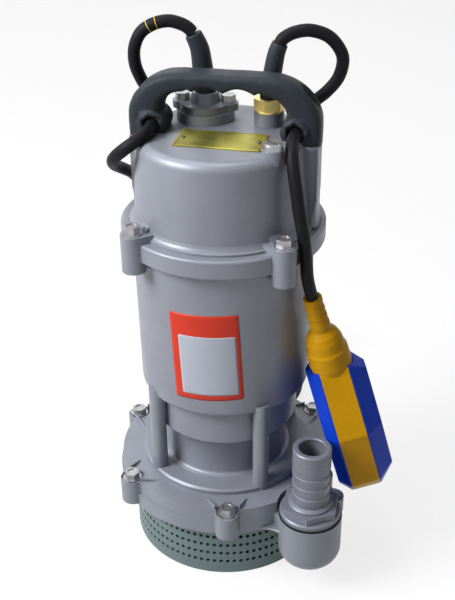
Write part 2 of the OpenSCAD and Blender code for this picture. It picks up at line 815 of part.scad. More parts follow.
module top_cover() {
    color(casting)
    difference() {
        union() {
            difference() {
                cover_solid(0);
                translate([0, 0, -1]) cylinder(r = 2 * cover_r, h = flange_top + 1);
            }
            rotate_extrude()
                polygon([[0, flange_top], [cover_low_r + 3.2, flange_top], [cover_low_r + 3.2,
                    flange_top + 1.6],
                    [cover_low_r + 1.4, flange_top + 2.4], [cover_low_r + 0.4, flange_top + 4],
                        [cover_low_r - 1, flange_top + 8], [0, flange_top + 8]]);
            ring(register_r - seat_gap, 0, flange_top - 6, flange_top + 1);
            translate([0, 0, flange_top]) linear_extrude(lug_top - flange_top)
                for (a = cover_angles) rotate(a) lug_outline(cover_bolt_at, cover_lug_r, 12);
            // The pads that carry the handle's feet, with a sloping lower end
            handle_frame() for (s = [0, 180]) rotate(s) translate([0, handle_w / 2, 0]) rotate([90, 0, 0])
                linear_extrude(handle_w)
                    polygon([[pad_in, flange_top + 6], [cover_low_r - 1, flange_top + 6], [handle_l,
                        flange_top + 22],
                        [handle_l, foot_z], [pad_in, foot_z]]);
            // The wedge from each lug up the wall
            for (a = cover_angles) rotate(a) translate([0, 4, 0]) rotate([90, 0, 0]) linear_extrude(8)
                polygon([[cover_r - 4, lug_top - 1], [cover_bolt_at - cover_lug_r + 1, lug_top - 1],
                    [cover_r - 1, lug_top + 9],
                    [cover_r - 4, lug_top + 9]]);
            translate([power_at[0], power_at[1], cover_top - 1]) cylinder(r = power_boss_r,
                h = power_boss_top - cover_top + 1);
            translate([float_at[0], float_at[1], cover_top - 1]) cylinder(r = float_boss_r,
                h = float_boss_top - cover_top + 1);
            translate([vent_at[0], vent_at[1], cover_top - 6]) cylinder(r = vent_boss_r,
                h = vent_top - cover_top + 6);
        }
        difference() {
            ring(cover_inner_r, 0, flange_top - 7, cover_top - cover_roof);
            translate([vent_at[0], vent_at[1], cover_top - 14]) cylinder(r = vent_boss_r + 1, h = 20);
            handle_frame() for (s = [-1, 1]) translate([s * (pad_in + 8), 0, cover_top - 26])
                cylinder(r = 7, h = 30);
        }
        // The groove of the cover's seal
        difference() {
            ring(register_r + 1, 0, flange_top - 4, flange_top - 1.9);
            ring(register_r - 2.2, 0, flange_top - 5, flange_top);
        }
        at_angles(cover_angles, cover_bolt_at) translate([0, 0, flange_top - 1])
            cylinder(r = bolt_r + seat_gap, h = 20, $fn = 32);
        translate([power_at[0], power_at[1], cover_top - cover_roof + 2]) cylinder(r = power_bore,
            h = 20, $fn = 48);
        translate([power_at[0], power_at[1], cover_top - cover_roof - 2]) cylinder(r = cable_d / 2 + 0.6,
            h = 20, $fn = 32);
        translate([power_at[0], power_at[1], 0]) handle_turned() for (s = [-1, 1])
            translate([s * power_bolt_at, 0, cover_top]) cylinder(r = 2.6, h = 20, $fn = 24);
        translate([float_at[0], float_at[1], cover_top - cover_roof - 2]) cylinder(r = cable_d / 2 + 0.6,
            h = 30, $fn = 32);
        translate([float_at[0], float_at[1], float_boss_top - 8]) cylinder(r = 8.1, h = 20, $fn = 32);
        translate([vent_at[0], vent_at[1], cover_top - 8]) cylinder(r = bolt_r + 0.6, h = 20, $fn = 32);
        handle_frame() for (s = [-1, 1]) translate([s * screw_at, 0, foot_z - 16])
            cylinder(r = bolt_r + seat_gap, h = 20, $fn = 32);
    }
}

module handle_turned() {
    rotate(turn) children();
}

module cover_seal() {
    color(dark)
    translate([0, 0, flange_top - 2.95]) rotate_extrude() translate([register_r - 1.1, 0])
        circle(r = 0.95, $fn = 32);
}

module cover_bolts() {
    color(steel)
        at_angles(cover_angles, cover_bolt_at) translate([0, 0, lug_top]) rotate(12)
            flange_bolt(lug_top - flange_z + 3.5);
}

module vent_screw() {
    color(steel)
        translate([vent_at[0], vent_at[1], vent_top]) rotate(-20) pan_screw(bolt_r + 0.4, 9);
}

// ---------------------------------------------------------------- swept forms
// Faces of a closed skin over rings of equal length, with flat ends
function skin_faces(rings, n) = concat(
    [[for (j = [n - 1 : -1 : 0]) j]],
    [for (i = [0 : rings - 2], j = [0 : n - 1]) each [
        [i * n + j, i * n + (j + 1) % n, (i + 1) * n + (j + 1) % n],
        [i * n + j, (i + 1) * n + (j + 1) % n, (i + 1) * n + j]]],
    [[for (j = [0 : n - 1]) (rings - 1) * n + j]]);

module skin(rings) {
    n = len(rings[0]);
    polyhedron(points = [for (r = rings, p = r) p], faces = skin_faces(len(rings), n), convexity = 10);
}

function unit(v) = v / norm(v);

// A ring of n points with radius r round point p, square to direction d; side is any other direction
function tube_ring(p, d, side, r, n) =
    let (u = unit(cross(d, side)), v = unit(cross(u, d)))
    [for (j = [0 : n - 1]) p + r * (cos(360 * j / n) * u + sin(360 * j / n) * v)];

// Catmull-Rom position on the route p between points i and i + 1
function on_route(p, i, t) =
    let (a = p[max(i - 1, 0)], b = p[i], c = p[i + 1], d = p[min(i + 2, len(p) - 1)])
    0.5 * (2 * b + (c - a) * t + (2 * a - 5 * b + 4 * c - d) * t * t + (3 * b - a - 3 * c + d) * t * t * t);
function route_points(p, steps) = concat(
    [for (i = [0 : len(p) - 2], k = [0 : steps - 1]) on_route(p, i, k / steps)], [p[len(p) - 1]]);
function way(q, i) = unit(q[min(i + 1, len(q) - 1)] - q[max(i - 1, 0)]);

// Side directions carried along the route without twist
function sides(q, i, side) = i >= len(q) ? [] :
    let (d = way(q, i), s = unit(side - (side * d) * d)) concat([s], sides(q, i + 1, s));

module tube(route, r, n, steps) {
    q = route_points(route, steps);
    s = sides(q, 0, [0.31, 0.52, 0.11]);
    skin([for (i = [0 : len(q) - 1]) tube_ring(q[i], way(q, i), s[i], r, n)]);
}

// ---------------------------------------------------------------- handle
eye_z = cover_top + 5.3;
eye_at = handle_l - eye_in;
screw_at = handle_l - 7.5;
screw_head_z = foot_z + 13.2;
grip_low = handle_top - grip_t;
finger_pitch = 21;
finger_depth = 2.2;

// Underside of the grip, with its finger hollows
function grip_under(x) = grip_low + finger_depth * abs(sin(180 * (x + 22) / finger_pitch));

// Pairs of outer and inner points of the handle's right half, from the foot to the grip
handle_half = [
    [[handle_l, foot_z - 1], [handle_l - leg_w, foot_z - 1]],
    [[handle_l, foot_z + 15], [handle_l - leg_w, foot_z + 16]],
    [[handle_l - 3.5, foot_z + 23], [handle_l - leg_w - 1.5, handle_top - 22]],
    [[handle_l - 7.5, handle_top - 15], [handle_l - leg_w - 4, handle_top - 18]],
    [[handle_l - 13, handle_top - 8.7], [handle_l - leg_w - 7.5, handle_top - 15]],
    [[handle_l - 20, handle_top - 3.7], [handle_l - leg_w - 12, handle_top - 13]],
    [[handle_l - 27, handle_top - 0.9], [handle_l - leg_w - 17, handle_top - grip_t + 0.3]]];
grip_x = [for (x = [24 : -3 : -24]) x];
function mirrored(p) = [-p[0], p[1]];
handle_pairs = concat(handle_half,
    [for (x = grip_x) [[x * 1.2, handle_top], [x, grip_under(x)]]],
    [for (i = [len(handle_half) - 1 : -1 : 0]) [mirrored(handle_half[i][0]), mirrored(handle_half[i][1])]]);

// Rounded section between an outer and an inner point
function soft(v) = sign(v) * pow(abs(v), 0.55);
function handle_ring(outer, inner, n) =
    let (mid = (outer + inner) / 2, half = (outer - inner) / 2)
    [for (j = [0 : n - 1]) let (a = 360 * (j + 0.5) / n, c = soft(cos(a)), s = soft(sin(a)))
        [mid[0] + half[0] * c, -handle_w / 2 * s, mid[1] + half[1] * c]];

module handle() {
    color([0.2, 0.21, 0.24])
    difference() {
        handle_frame()
            difference() {
                union() {
                    skin([for (p = handle_pairs) handle_ring(p[0], p[1], 16)]);
                    for (s = [-1, 1]) translate([s * eye_at, handle_w / 2, eye_z]) rotate([90, 0, 0])
                        cylinder(r = eye_boss_r, h = handle_w, $fn = 48);
                }
                for (s = [-1, 1]) translate([s * eye_at, handle_w, eye_z]) rotate([90, 0, 0])
                    cylinder(r = eye_hole_r, h = 2 * handle_w, $fn = 48);
                for (s = [-1, 1]) translate([s * screw_at, 0, 0]) {
                    cylinder(r = bolt_r + 0.3, h = handle_top, $fn = 32);
                    translate([0, 0, screw_head_z]) cylinder(r = 6.3, h = 40, $fn = 32);
                }
                translate([-2 * handle_l, -handle_w, foot_z - 20]) cube([4 * handle_l, 2 * handle_w,
                    20 + seat_gap]);
            }
        cover_solid(seat_gap);
    }
}

module handle_screws() {
    color(steel)
        handle_frame() for (s = [-1, 1]) translate([s * screw_at, 0, screw_head_z + 0.1]) {
            difference() {
                cylinder(r = 5.4, h = 5.5, $fn = 32);
                translate([0, 0, 2.5]) cylinder(r = 2.9, h = 4, $fn = 6);
            }
            translate([0, 0, -20]) cylinder(r = bolt_r, h = 20, $fn = 32);
        }
}

// ---------------------------------------------------------------- cable glands
gland_t = 5;
gland_hub_top = power_boss_top + gland_t + 7;
sleeve_r = 7.4;

module power_gland() {
    color(casting)
    translate([power_at[0], power_at[1], power_boss_top + 0.1])
        difference() {
            union() {
                handle_turned() linear_extrude(gland_t) {
                    circle(r = 18.4);
                    for (s = [-1, 1]) translate([s * power_bolt_at, 0]) circle(r = 7, $fn = 48);
                }
                translate([0, 0, gland_t]) cylinder(r1 = power_bolt_at - power_head_r - 0.2, r2 = 9.2, h = 7);
            }
            translate([0, 0, -1]) cylinder(r = sleeve_r + seat_gap, h = 30, $fn = 48);
            handle_turned() for (s = [-1, 1]) translate([s * power_bolt_at, 0, -1]) cylinder(r = 2.6,
                h = 20, $fn = 24);
        }
}

module power_bush() {
    color(dark)
    translate([power_at[0], power_at[1], 0])
        ring(power_bore - seat_gap, cable_d / 2 + 0.1, cover_top - cover_roof + 2, power_boss_top - 0.1);
}

module power_gland_bolts() {
    color(steel)
    translate([power_at[0], power_at[1], power_boss_top + gland_t + 0.1]) handle_turned()
        for (s = [-1, 1]) translate([s * power_bolt_at, 0, 0]) {
            cylinder(r = power_head_r, h = 5.4, $fn = 6);
            translate([0, 0, -11.5]) cylinder(r = 2.5, h = 12, $fn = 24);
        }
}

// The tapered sleeves that keep the cables from kinking at the glands
power_sleeve_way = [[-11.5, 29, power_boss_top + 0.2], [-11.5, 29, gland_hub_top + 3], [-13, 29, 371],
    [-14.8, 29, 384], [-19, 29, 394]];
float_sleeve_way = [[32.5, 14, float_boss_top - 2], [32.5, 14, float_boss_top + 14], [34.6, 14, 372],
    [36.8, 14, 384], [39.4, 14, 391]];

module sleeve(route, r0, r1, start) {
    q = route_points(route, 4);
    last = len(q) - 1;
    s = sides(q, 0, [0.31, 0.52, 0.11]);
    skin([for (i = [0 : last]) tube_ring(q[i], way(q, i), s[i], i < start ? r0 : r0 + (r1 - r0)
        * (i - start) / (last - start), 16)]);
}

module power_sleeve() {
    color(dark) sleeve(power_sleeve_way, sleeve_r, cable_d / 2 + 1.4, 4);
}

module float_gland() {
    color([0.83, 0.62, 0.24])
    translate([float_at[0], float_at[1], float_boss_top])
        difference() {
            union() {
                translate([0, 0, 0.1]) cylinder(r = 10.2, h = 1.6);
                rotate(10) translate([0, 0, 1.6]) cylinder(r = 11, h = 7.4, $fn = 6);
                translate([0, 0, -6]) cylinder(r = 8, h = 8, $fn = 48);
            }
            translate([0, 0, -7]) cylinder(r = 6.7, h = 30, $fn = 48);
        }
}

module float_sleeve() {
    color(dark) sleeve(float_sleeve_way, 6.5, cable_d / 2 + 1, 4);
}

// ---------------------------------------------------------------- cables
tube_n = 10;
coil_mid = [4, 172];
coil_out = 66;
coil_pitch = 9.4;
coil_n = 6;
coil_rings = 24;
coil_low = cable_d / 2 + 0.1;

// Route of the power cable: loop over the handle, left eye, round the pad, down the back, along the floor
power_route = [[-19.4, 29.05, 394.8], [-22.5, 29.3, 398.2], [-28, 29.8, 401], [-36, 30.2, 402.6], [-46, 30.5,
    400.4],
    [-54.5, 31, 394.5], [-59.3, 31.5, 384], [-59.4, 32.5, 372], [-55.5, 34, 360.5], [-50, 35, 350.5],
    [-45.5, 32, 343.5], [-43.2, 25, 340.8], [-44.1, 16, 340.3], [-46.6, 4, 340.3], [-49, -7, 340.2],
    [-52.5, -15, 339.2], [-58.5, -20.5, 336], [-66, -20.5, 330.5], [-72.5, -14, 323], [-75.5, -3, 315],
    [-75, 10, 307], [-71, 23, 299], [-66, 36, 290], [-62.5, 46, 279], [-61.5, 51, 266],
    [-61, 53.5, 240], [-60, 56, 205], [-58.5, 60, 165], [-57.5, 64, 125], [-57, 69, 95], [-57, 73, 65],
    [-57.5, 78.5, 38], [-58.2, 90, 15], [-59.5, 106, 5.4], [-61, 124, 4.5], [-62, 144, 4.5],
    [-62, 158, 4.5], [-62, 172, 4.5]];
tail_route = [[-66.7, 172, 32.7], [-66.7, 184, 32.9], [-64, 199, 36], [-56, 211.5, 41], [-44, 218.5, 46],
    [-30, 220, 51.5], [-17, 220, 55], [-8, 220, 55.4]];
float_loop_route = [[39.4, 14, 391], [41.5, 14.2, 394.3], [49, 15, 398], [60.3, 16, 398.8], [73, 16.5,
    393.6],
    [81.6, 17, 381], [80, 18, 367], [72.5, 19.5, 356], [63, 20.5, 347.6], [56.6, 17, 342], [53.6, 8, 340.4],
    [51, -6, 340.3], [48, -22.9, 340.3]];
// Where the float's cable goes in, and its height above the strainer
float_hang = 183;
float_top = [60.6, -47, strainer_h + float_hang];
float_route = [[47, -27.5, 340.3], [45.6, -35, 339.6], [45, -43, 335.5], [46, -49.5, 325.5],
    [47.8, -53.5, 313], [50, -56, 298], [52.8, -57, 283], [55, -55.5, 266],
    float_top + [-3.8, -4.9, 17], float_top + [1, 0.4, -4]];

module power_cable() {
    color(dark) tube(power_route, cable_d / 2, tube_n, 2);
}

module power_tail() {
    color(dark) tube(tail_route, cable_d / 2, tube_n, 2);
}

module float_loop() {
    color(dark) tube(float_loop_route, cable_d / 2, tube_n, 2);
}

module float_cable() {
    color(dark) tube(float_route, cable_d / 2, tube_n, 2);
}

// The coil: a spiral that goes in and out at a steady rate and climbs a layer where it reverses
coil_step = coil_turns - 0.25;
coil_end = coil_turns * coil_layers - 0.25;
function fold(t) = t > coil_end ? coil_end - t :
    let (m = (t + 0.25) % (2 * coil_turns)) m < coil_turns ? m : 2 * coil_turns - m;
function ease(t) = t * t * (3 - 2 * t);
function coil_r(t) = coil_out + coil_pitch * (0.25 - fold(t));
function coil_z(t) =
    let (layer = floor(t / coil_turns), u = t - layer * coil_turns)
    coil_low + coil_pitch * (min(layer, coil_layers - 1)
        + (layer < coil_layers - 1 && u > coil_turns - 0.5 ? ease((u - coil_turns + 0.5) / 0.5) : 0));
function coil_point(t) = [coil_mid[0] + coil_r(t) * cos(180 - 360 * t), coil_mid[1] + coil_r(t)
    * sin(180 - 360 * t), coil_z(t)];
coil_points = [for (i = [0 : coil_turns * coil_layers * coil_rings]) coil_point(i / coil_rings)];
coil_last = len(coil_points) - 1;
coil_gap = min([for (i = [0 : 2 : coil_last - coil_rings], j = [i + coil_rings / 2 : 1 : coil_last])
    norm(coil_points[i] - coil_points[j])]) - cable_d;
echo(coil_gap = coil_gap);

module power_coil() {
    q = coil_points;
    color(dark)
    skin([for (i = [0 : len(q) - 1]) tube_ring(q[i], way(q, i), [0, 0, 1], cable_d / 2, coil_n)]);
}

tie_angle = -50;

module coil_tie() {
    inner = coil_out - coil_pitch * coil_step - cable_d / 2 - 0.4;
    outer = coil_out + coil_pitch * 0.6 + cable_d / 2 + 0.4;
    high = coil_low + coil_pitch * (coil_layers - 1) + cable_d / 2 + 0.4;
    color([0.1, 0.1, 0.11])
    translate([coil_mid[0], coil_mid[1], 0]) rotate(tie_angle) translate([0, 2.5, 0]) rotate([90, 0, 0])
        linear_extrude(5)
        difference() {
            translate([inner - 1.2, 0]) square([outer - inner + 2.4, high + 1.2]);
            translate([inner, -1]) square([outer - inner, high + 1]);
        }
}

plug_z = tail_route[len(tail_route) - 1][2];
plug_y = tail_route[len(tail_route) - 1][1];
plug_x = tail_route[len(tail_route) - 1][0];

module power_plug() {
    color(dark)
    translate([plug_x, plug_y, plug_z]) rotate([0, 90, 0]) {
        rotate_extrude()
            polygon([[0, 0], [5.6, 0], [7.5, 26], [11, 30], [16.5, 36], [18, 42], [18, 60], [17.2, 61.5],
                [0, 61.5]]);
        for (z = [4 : 4.5 : 22]) translate([0, 0, z]) cylinder(r = 6.5 + z * 0.06, h = 1.6, $fn = 32);
    }
    color(steel)
    translate([plug_x + 60, plug_y, plug_z])
        for (s = [-1, 1]) translate([0, 9.5 * s, 0]) rotate([0, 90, 0]) {
            cylinder(r = 2.4, h = 18.5, $fn = 24);
            translate([0, 0, 18.4]) sphere(r = 2.4, $fn = 24);
        }
}

// ---------------------------------------------------------------- float
float_lean = [5.7, -15.3, 0];
float_yaw = 4;
neck_l = 28;
bulb_l = 36;
body_z = -neck_l - bulb_l + 6;
wall = 2.6;

module float_frame() {
    translate(float_top) rotate(float_lean) rotate(float_yaw) children();
}

// The float's outline seen along X, drawn in X (width) and Y (height)
module float_outline(inset) {
    h = float_w / 2;
    offset(r = -inset)
        offset(r = 5, $fn = 24) offset(r = -5)
            polygon([[-13, body_z], [13, body_z], [h, body_z - 50], [h, body_z - float_l + 15], [h - 11,
                body_z - float_l],
                [-h + 11, body_z - float_l], [-h, body_z - float_l + 15], [-h, body_z - 50]]);
}

// Stands an outline up in the float's frame with thickness t, from x = x0
module upright(x0, t) {
    translate([x0, 0, 0]) rotate([90, 0, 90]) linear_extrude(t) children();
}

module float_band() {
    color(yellow)
    float_frame()
        difference() {
            union() {
                upright(-band_t / 2, band_t) difference() {
                    float_outline(0);
                    float_outline(wall);
                }
                rotate_extrude()
                    polygon([[0, 0], [6.4, 0], [6.8, -0.8], [6.8, -4], [6.3, -5], [6.9, -9], [6.9,
                        -10.5], [6.4, -11.5],
                        [7.1, -15.5], [7.1, -17], [6.6, -18], [7.4, -22], [7.4, -neck_l], [11,
                            -neck_l - 4], [13, -neck_l - 9],
                        [14, -neck_l - 16], [15, -neck_l - 18], [15.6, -neck_l - 30], [15, -neck_l - 34],
                            [12, -neck_l - bulb_l],
                        [0, -neck_l - bulb_l]]);
            }
            translate([0, 0, -8]) cylinder(r = cable_d / 2 + 0.2, h = 20, $fn = 32);
            upright(-band_t / 2 + wall, band_t - 2 * wall) float_outline(wall);
        }
}

// A blue shell of thickness t on the side s of the band, hollow, with sloping rims
module float_side(s, t) {
    color(blue)
    float_frame()
        mirror([s < 0 ? 1 : 0, 0, 0])
        difference() {
            hull() {
                upright(band_t / 2 + 0.05, 1) float_outline(0.4);
                upright(band_t / 2 + t - 1, 1) float_outline(t - 1);
            }
            hull() {
                upright(band_t / 2 - 1, 2) float_outline(wall + 1);
                upright(band_t / 2 + t - 1 - wall, 1) float_outline(t + wall);
            }
            // Room for the skirt under the neck
            translate([0, 0, -neck_l - bulb_l - 0.1]) cylinder(r = 15.8, h = bulb_l, $fn = 48);
        }
}

module float_side_inner() {
    float_side(-1, inner_side_t);
}
module float_side_outer() {
    float_side(1, side_t);
}

switch_z = body_z - float_l + 14;
ball_r = 6.5;
ball_travel = 30;

module float_switch() {
    color([0.9, 0.9, 0.86])
    float_frame()
        difference() {
            union() {
                translate([0, 0, switch_z]) cylinder(r = ball_r + 2.4, h = 56, $fn = 48);
                translate([-4, -8, switch_z + 54]) cube([8, 16, 14]);
                intersection() {
                    upright(-1, 2) float_outline(wall + 0.3);
                    translate([-2, -50, switch_z + 6]) cube([4, 100, 36]);
                }
            }
            translate([0, 0, switch_z + 2]) cylinder(r = ball_r + 0.3, h = 2 * ball_r + ball_travel + 2,
                $fn = 48);
        }
}

module float_ball() {
    color(steel) float_frame() translate([0, 0, switch_z + 2.3 + ball_r]) sphere(r = ball_r, $fn = 48);
}

base_plate();
strainer();
strainer_screws();
pump_casing();
hose_barb();
barb_seal();
casing_seal();
motor_frame();
oil_cover();
oil_cover_screws();
seal_seat();
seal_head();
seal_spring();
casing_bolts();
impeller();
impeller_nut();
impeller_key();
shaft();
rotor_core();
stator_core();
windings();
lower_outer_ring();
lower_inner_ring();
lower_balls();
upper_outer_ring();
upper_inner_ring();
upper_balls();
upper_bracket();
bracket_screws();
preload_washer();
top_cover();
cover_seal();
cover_bolts();
capacitor();
capacitor_clamp();
thermal_cutout();
terminal_block();
handle();
handle_screws();
power_gland();
power_bush();
power_gland_bolts();
power_sleeve();
float_gland();
float_sleeve();
vent_screw();
power_cable();
power_coil();
power_tail();
coil_tie();
power_plug();
float_loop();
float_cable();
float_band();
float_side_inner();
float_side_outer();
float_switch();
float_ball();
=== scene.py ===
"""Looks of a submersible sump pump: materials, cords, plates, camera and light.

Metres, +Z up, -Y towards the camera. The CAD model is the fixed frame. This script dresses it and
adds what its solids lack: the handle's finer form, the cover's pads, the neck, thin ribs and a web.
"""
import math

import bpy
from mathutils import Matrix, Vector


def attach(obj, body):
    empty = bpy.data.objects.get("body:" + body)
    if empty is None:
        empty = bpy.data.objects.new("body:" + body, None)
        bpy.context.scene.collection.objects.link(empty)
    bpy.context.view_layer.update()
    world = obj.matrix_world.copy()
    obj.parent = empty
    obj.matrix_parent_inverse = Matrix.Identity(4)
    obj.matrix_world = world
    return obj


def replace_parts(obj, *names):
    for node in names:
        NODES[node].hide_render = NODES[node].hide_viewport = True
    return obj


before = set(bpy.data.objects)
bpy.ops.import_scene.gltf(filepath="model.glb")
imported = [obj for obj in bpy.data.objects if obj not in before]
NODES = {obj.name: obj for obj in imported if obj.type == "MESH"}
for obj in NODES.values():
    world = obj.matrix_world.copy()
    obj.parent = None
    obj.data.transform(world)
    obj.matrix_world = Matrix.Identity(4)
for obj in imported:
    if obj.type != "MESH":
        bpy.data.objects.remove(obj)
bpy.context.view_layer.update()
MM = 0.001


def mm(*values):
    """Millimetres to a vector in metres."""
    return Vector([v * MM for v in values])


# ---------------------------------------------------------------- materials
def node_material(name, color, metallic=0.0, roughness=0.5, **sockets):
    """A Principled material; sockets names further inputs, such as Coat_Weight=0.3."""
    mat = bpy.data.materials.new(name)
    mat.use_nodes = True
    shader = mat.node_tree.nodes["Principled BSDF"]
    shader.inputs["Base Color"].default_value = (*color, 1)
    shader.inputs["Metallic"].default_value = metallic
    shader.inputs["Roughness"].default_value = roughness
    for key, value in sockets.items():
        shader.inputs[key.replace("_", " ")].default_value = value
    mat.diffuse_color = (*color, 1)
    return mat


# A noise texture's values mostly lie between these
NOISE_LOW, NOISE_HIGH = 0.3, 0.7


def texture(mat, scale, detail, stretch=(1, 1, 1)):
    """A noise texture in object coordinates; returns the node."""
    tree = mat.node_tree
    where = tree.nodes.new("ShaderNodeTexCoord")
    mapping = tree.nodes.new("ShaderNodeMapping")
    mapping.inputs["Scale"].default_value = stretch
    tree.links.new(where.outputs["Object"], mapping.inputs["Vector"])
    noise = tree.nodes.new("ShaderNodeTexNoise")
    noise.inputs["Scale"].default_value = scale
    noise.inputs["Detail"].default_value = detail
    tree.links.new(mapping.outputs["Vector"], noise.inputs["Vector"])
    return noise


def ramp(mat, noise, stops, socket):
    """Drives an input of the shader by a texture, through a ramp of (position, colour) stops."""
    tree = mat.node_tree
    node = tree.nodes.new("ShaderNodeValToRGB")
    elements = node.color_ramp.elements
    while len(elements) < len(stops):
        elements.new(0.5)
    for element, (at, color) in zip(elements, stops):
        element.position = at
        element.color = (*color, 1)
    tree.links.new(noise.outputs["Fac"], node.inputs["Fac"])
    tree.links.new(node.outputs["Color"], tree.nodes["Principled BSDF"].inputs[socket])


def color_between(mat, noise, color, low, high):
    """A colour that varies by a texture between two shares of its brightness."""
    ramp(mat, noise, [(NOISE_LOW, shade(color, low)), (NOISE_HIGH, shade(color, high))], "Base Color")


def roughness_between(mat, noise, low, high):
    """A roughness that varies by a texture."""
    ramp(mat, noise, [(NOISE_LOW, (low,) * 3), (NOISE_HIGH, (high,) * 3)], "Roughness")


def bump_from(mat, noise, strength, depth_mm):
    """Bumps of the given depth from a texture."""
    tree = mat.node_tree
    bump = tree.nodes.new("ShaderNodeBump")
    bump.inputs["Strength"].default_value = strength
    bump.inputs["Distance"].default_value = depth_mm * MM
    tree.links.new(noise.outputs["Fac"], bump.inputs["Height"])
    tree.links.new(bump.outputs["Normal"], tree.nodes["Principled BSDF"].inputs["Normal"])


def shade(color, factor):
    """The colour made lighter or darker."""
    return tuple(min(1.0, c * factor) for c in color)


def paint(name, color, roughness, metallic):
    """Aluminium paint on a casting: fine sparkle, faint clouds and a slight orange peel."""
    mat = node_material(name, color, metallic, roughness, Coat_Weight=0.08, Coat_Roughness=0.25,
                        Specular_IOR_Level=0.2)
    color_between(mat, texture(mat, 28, 4), color, 0.92, 1.06)
    roughness_between(mat, texture(mat, 60, 3), roughness - 0.06, roughness + 0.08)
    bump_from(mat, texture(mat, 900, 2), 0.25, 0.05)
    return mat


def plastic(name, color, roughness, grain=0.1, shine=0.3):
    """Plastic, rubber or ceramic: faint clouds and a fine grain."""
    mat = node_material(name, color, 0.0, roughness, Specular_IOR_Level=shine)
    color_between(mat, texture(mat, 18, 3), color, 0.93, 1.05)
    roughness_between(mat, texture(mat, 90, 3), roughness - 0.05, roughness + 0.1)
    bump_from(mat, texture(mat, 700, 2), grain, 0.04)
    return mat


def bare_metal(name, color, roughness, stretch=(1, 1, 12)):
    """Bare metal with marks drawn out along one direction."""
    mat = node_material(name, color, 1.0, roughness)
    color_between(mat, texture(mat, 160, 3, stretch), color, 0.86, 1.08)
    roughness_between(mat, texture(mat, 240, 3, stretch), roughness - 0.08, roughness + 0.12)
    bump_from(mat, texture(mat, 500, 2, stretch), 0.15, 0.03)
    return mat


MATERIALS = {
    "silver": paint("silver_paint", (0.25, 0.262, 0.305), 0.42, 0.22),
    "casing": paint("casing_paint", (0.245, 0.262, 0.3), 0.46, 0.25),
    "strainer": paint("strainer_paint", (0.15, 0.205, 0.21), 0.5, 0.25),
    "zinc": bare_metal("zinc_steel", (0.4, 0.4, 0.42), 0.4),
    "dark_screw": bare_metal("dark_screw", (0.12, 0.125, 0.135), 0.45),
    "nipple": paint("nipple_metal", (0.2, 0.207, 0.25), 0.5, 0.35),
    "brass": bare_metal("brass", (1.0, 0.77, 0.33), 0.5, (1, 1, 8)),
    "ceramic": plastic("ceramic", (0.72, 0.72, 0.68), 0.2),
    "bronze": bare_metal("bronze", (0.42, 0.28, 0.13), 0.4),
    "copper": bare_metal("copper", (0.6, 0.26, 0.1), 0.35),
    "can": bare_metal("can", (0.55, 0.55, 0.54), 0.3),
    "moulded": plastic("moulded", (0.7, 0.7, 0.64), 0.4),
    "handle": plastic("handle_plastic", (0.026, 0.031, 0.04), 0.5, 0.3, 0.16),
    "rubber": plastic("cable_rubber", (0.008, 0.008, 0.011), 0.5, 0.25, 0.12),
    "sleeve": plastic("sleeve_rubber", (0.024, 0.029, 0.038), 0.52, 0.35, 0.2),
    "yellow": plastic("float_yellow", (0.62, 0.31, 0.002), 0.42, 0.08, 0.14),
    "blue": plastic("float_blue", (0.003, 0.05, 0.58), 0.42, 0.08, 0.16),
    "ring_yellow": plastic("ring_yellow", (0.8, 0.55, 0.04), 0.4),
}
LOOKS = {
    "strainer": ["base_plate", "strainer"],
    "zinc": ["strainer_screws", "casing_bolts", "cover_bolts", "vent_screw", "power_gland_bolts",
             "bracket_screws", "oil_cover_screws", "preload_washer", "seal_spring", "capacitor_clamp",
             "shaft", "impeller_nut", "impeller_key", "rotor_core", "stator_core", "lower_outer_ring",
             "lower_inner_ring", "lower_balls", "upper_outer_ring", "upper_inner_ring", "upper_balls",
             "float_ball"],
    "dark_screw": ["handle_screws"],
    "silver": ["motor_frame", "top_cover", "power_gland", "oil_cover", "upper_bracket"],
    "casing": ["pump_casing"],
    "nipple": ["hose_barb"],
    "rubber": ["power_plug", "barb_seal", "casing_seal", "cover_seal", "power_bush", "seal_head",
               "power_coil", "power_cable", "power_tail", "float_loop", "float_cable", "coil_tie"],
    "sleeve": ["power_sleeve", "float_sleeve"],
    "ceramic": ["seal_seat"],
    "bronze": ["impeller"],
    "copper": ["windings"],
    "can": ["capacitor"],
    "moulded": ["thermal_cutout", "terminal_block", "float_switch"],
    "handle": ["handle"],
    "brass": ["float_gland"],
    "yellow": ["float_band"],
    "blue": ["float_side_inner", "float_side_outer"],
}


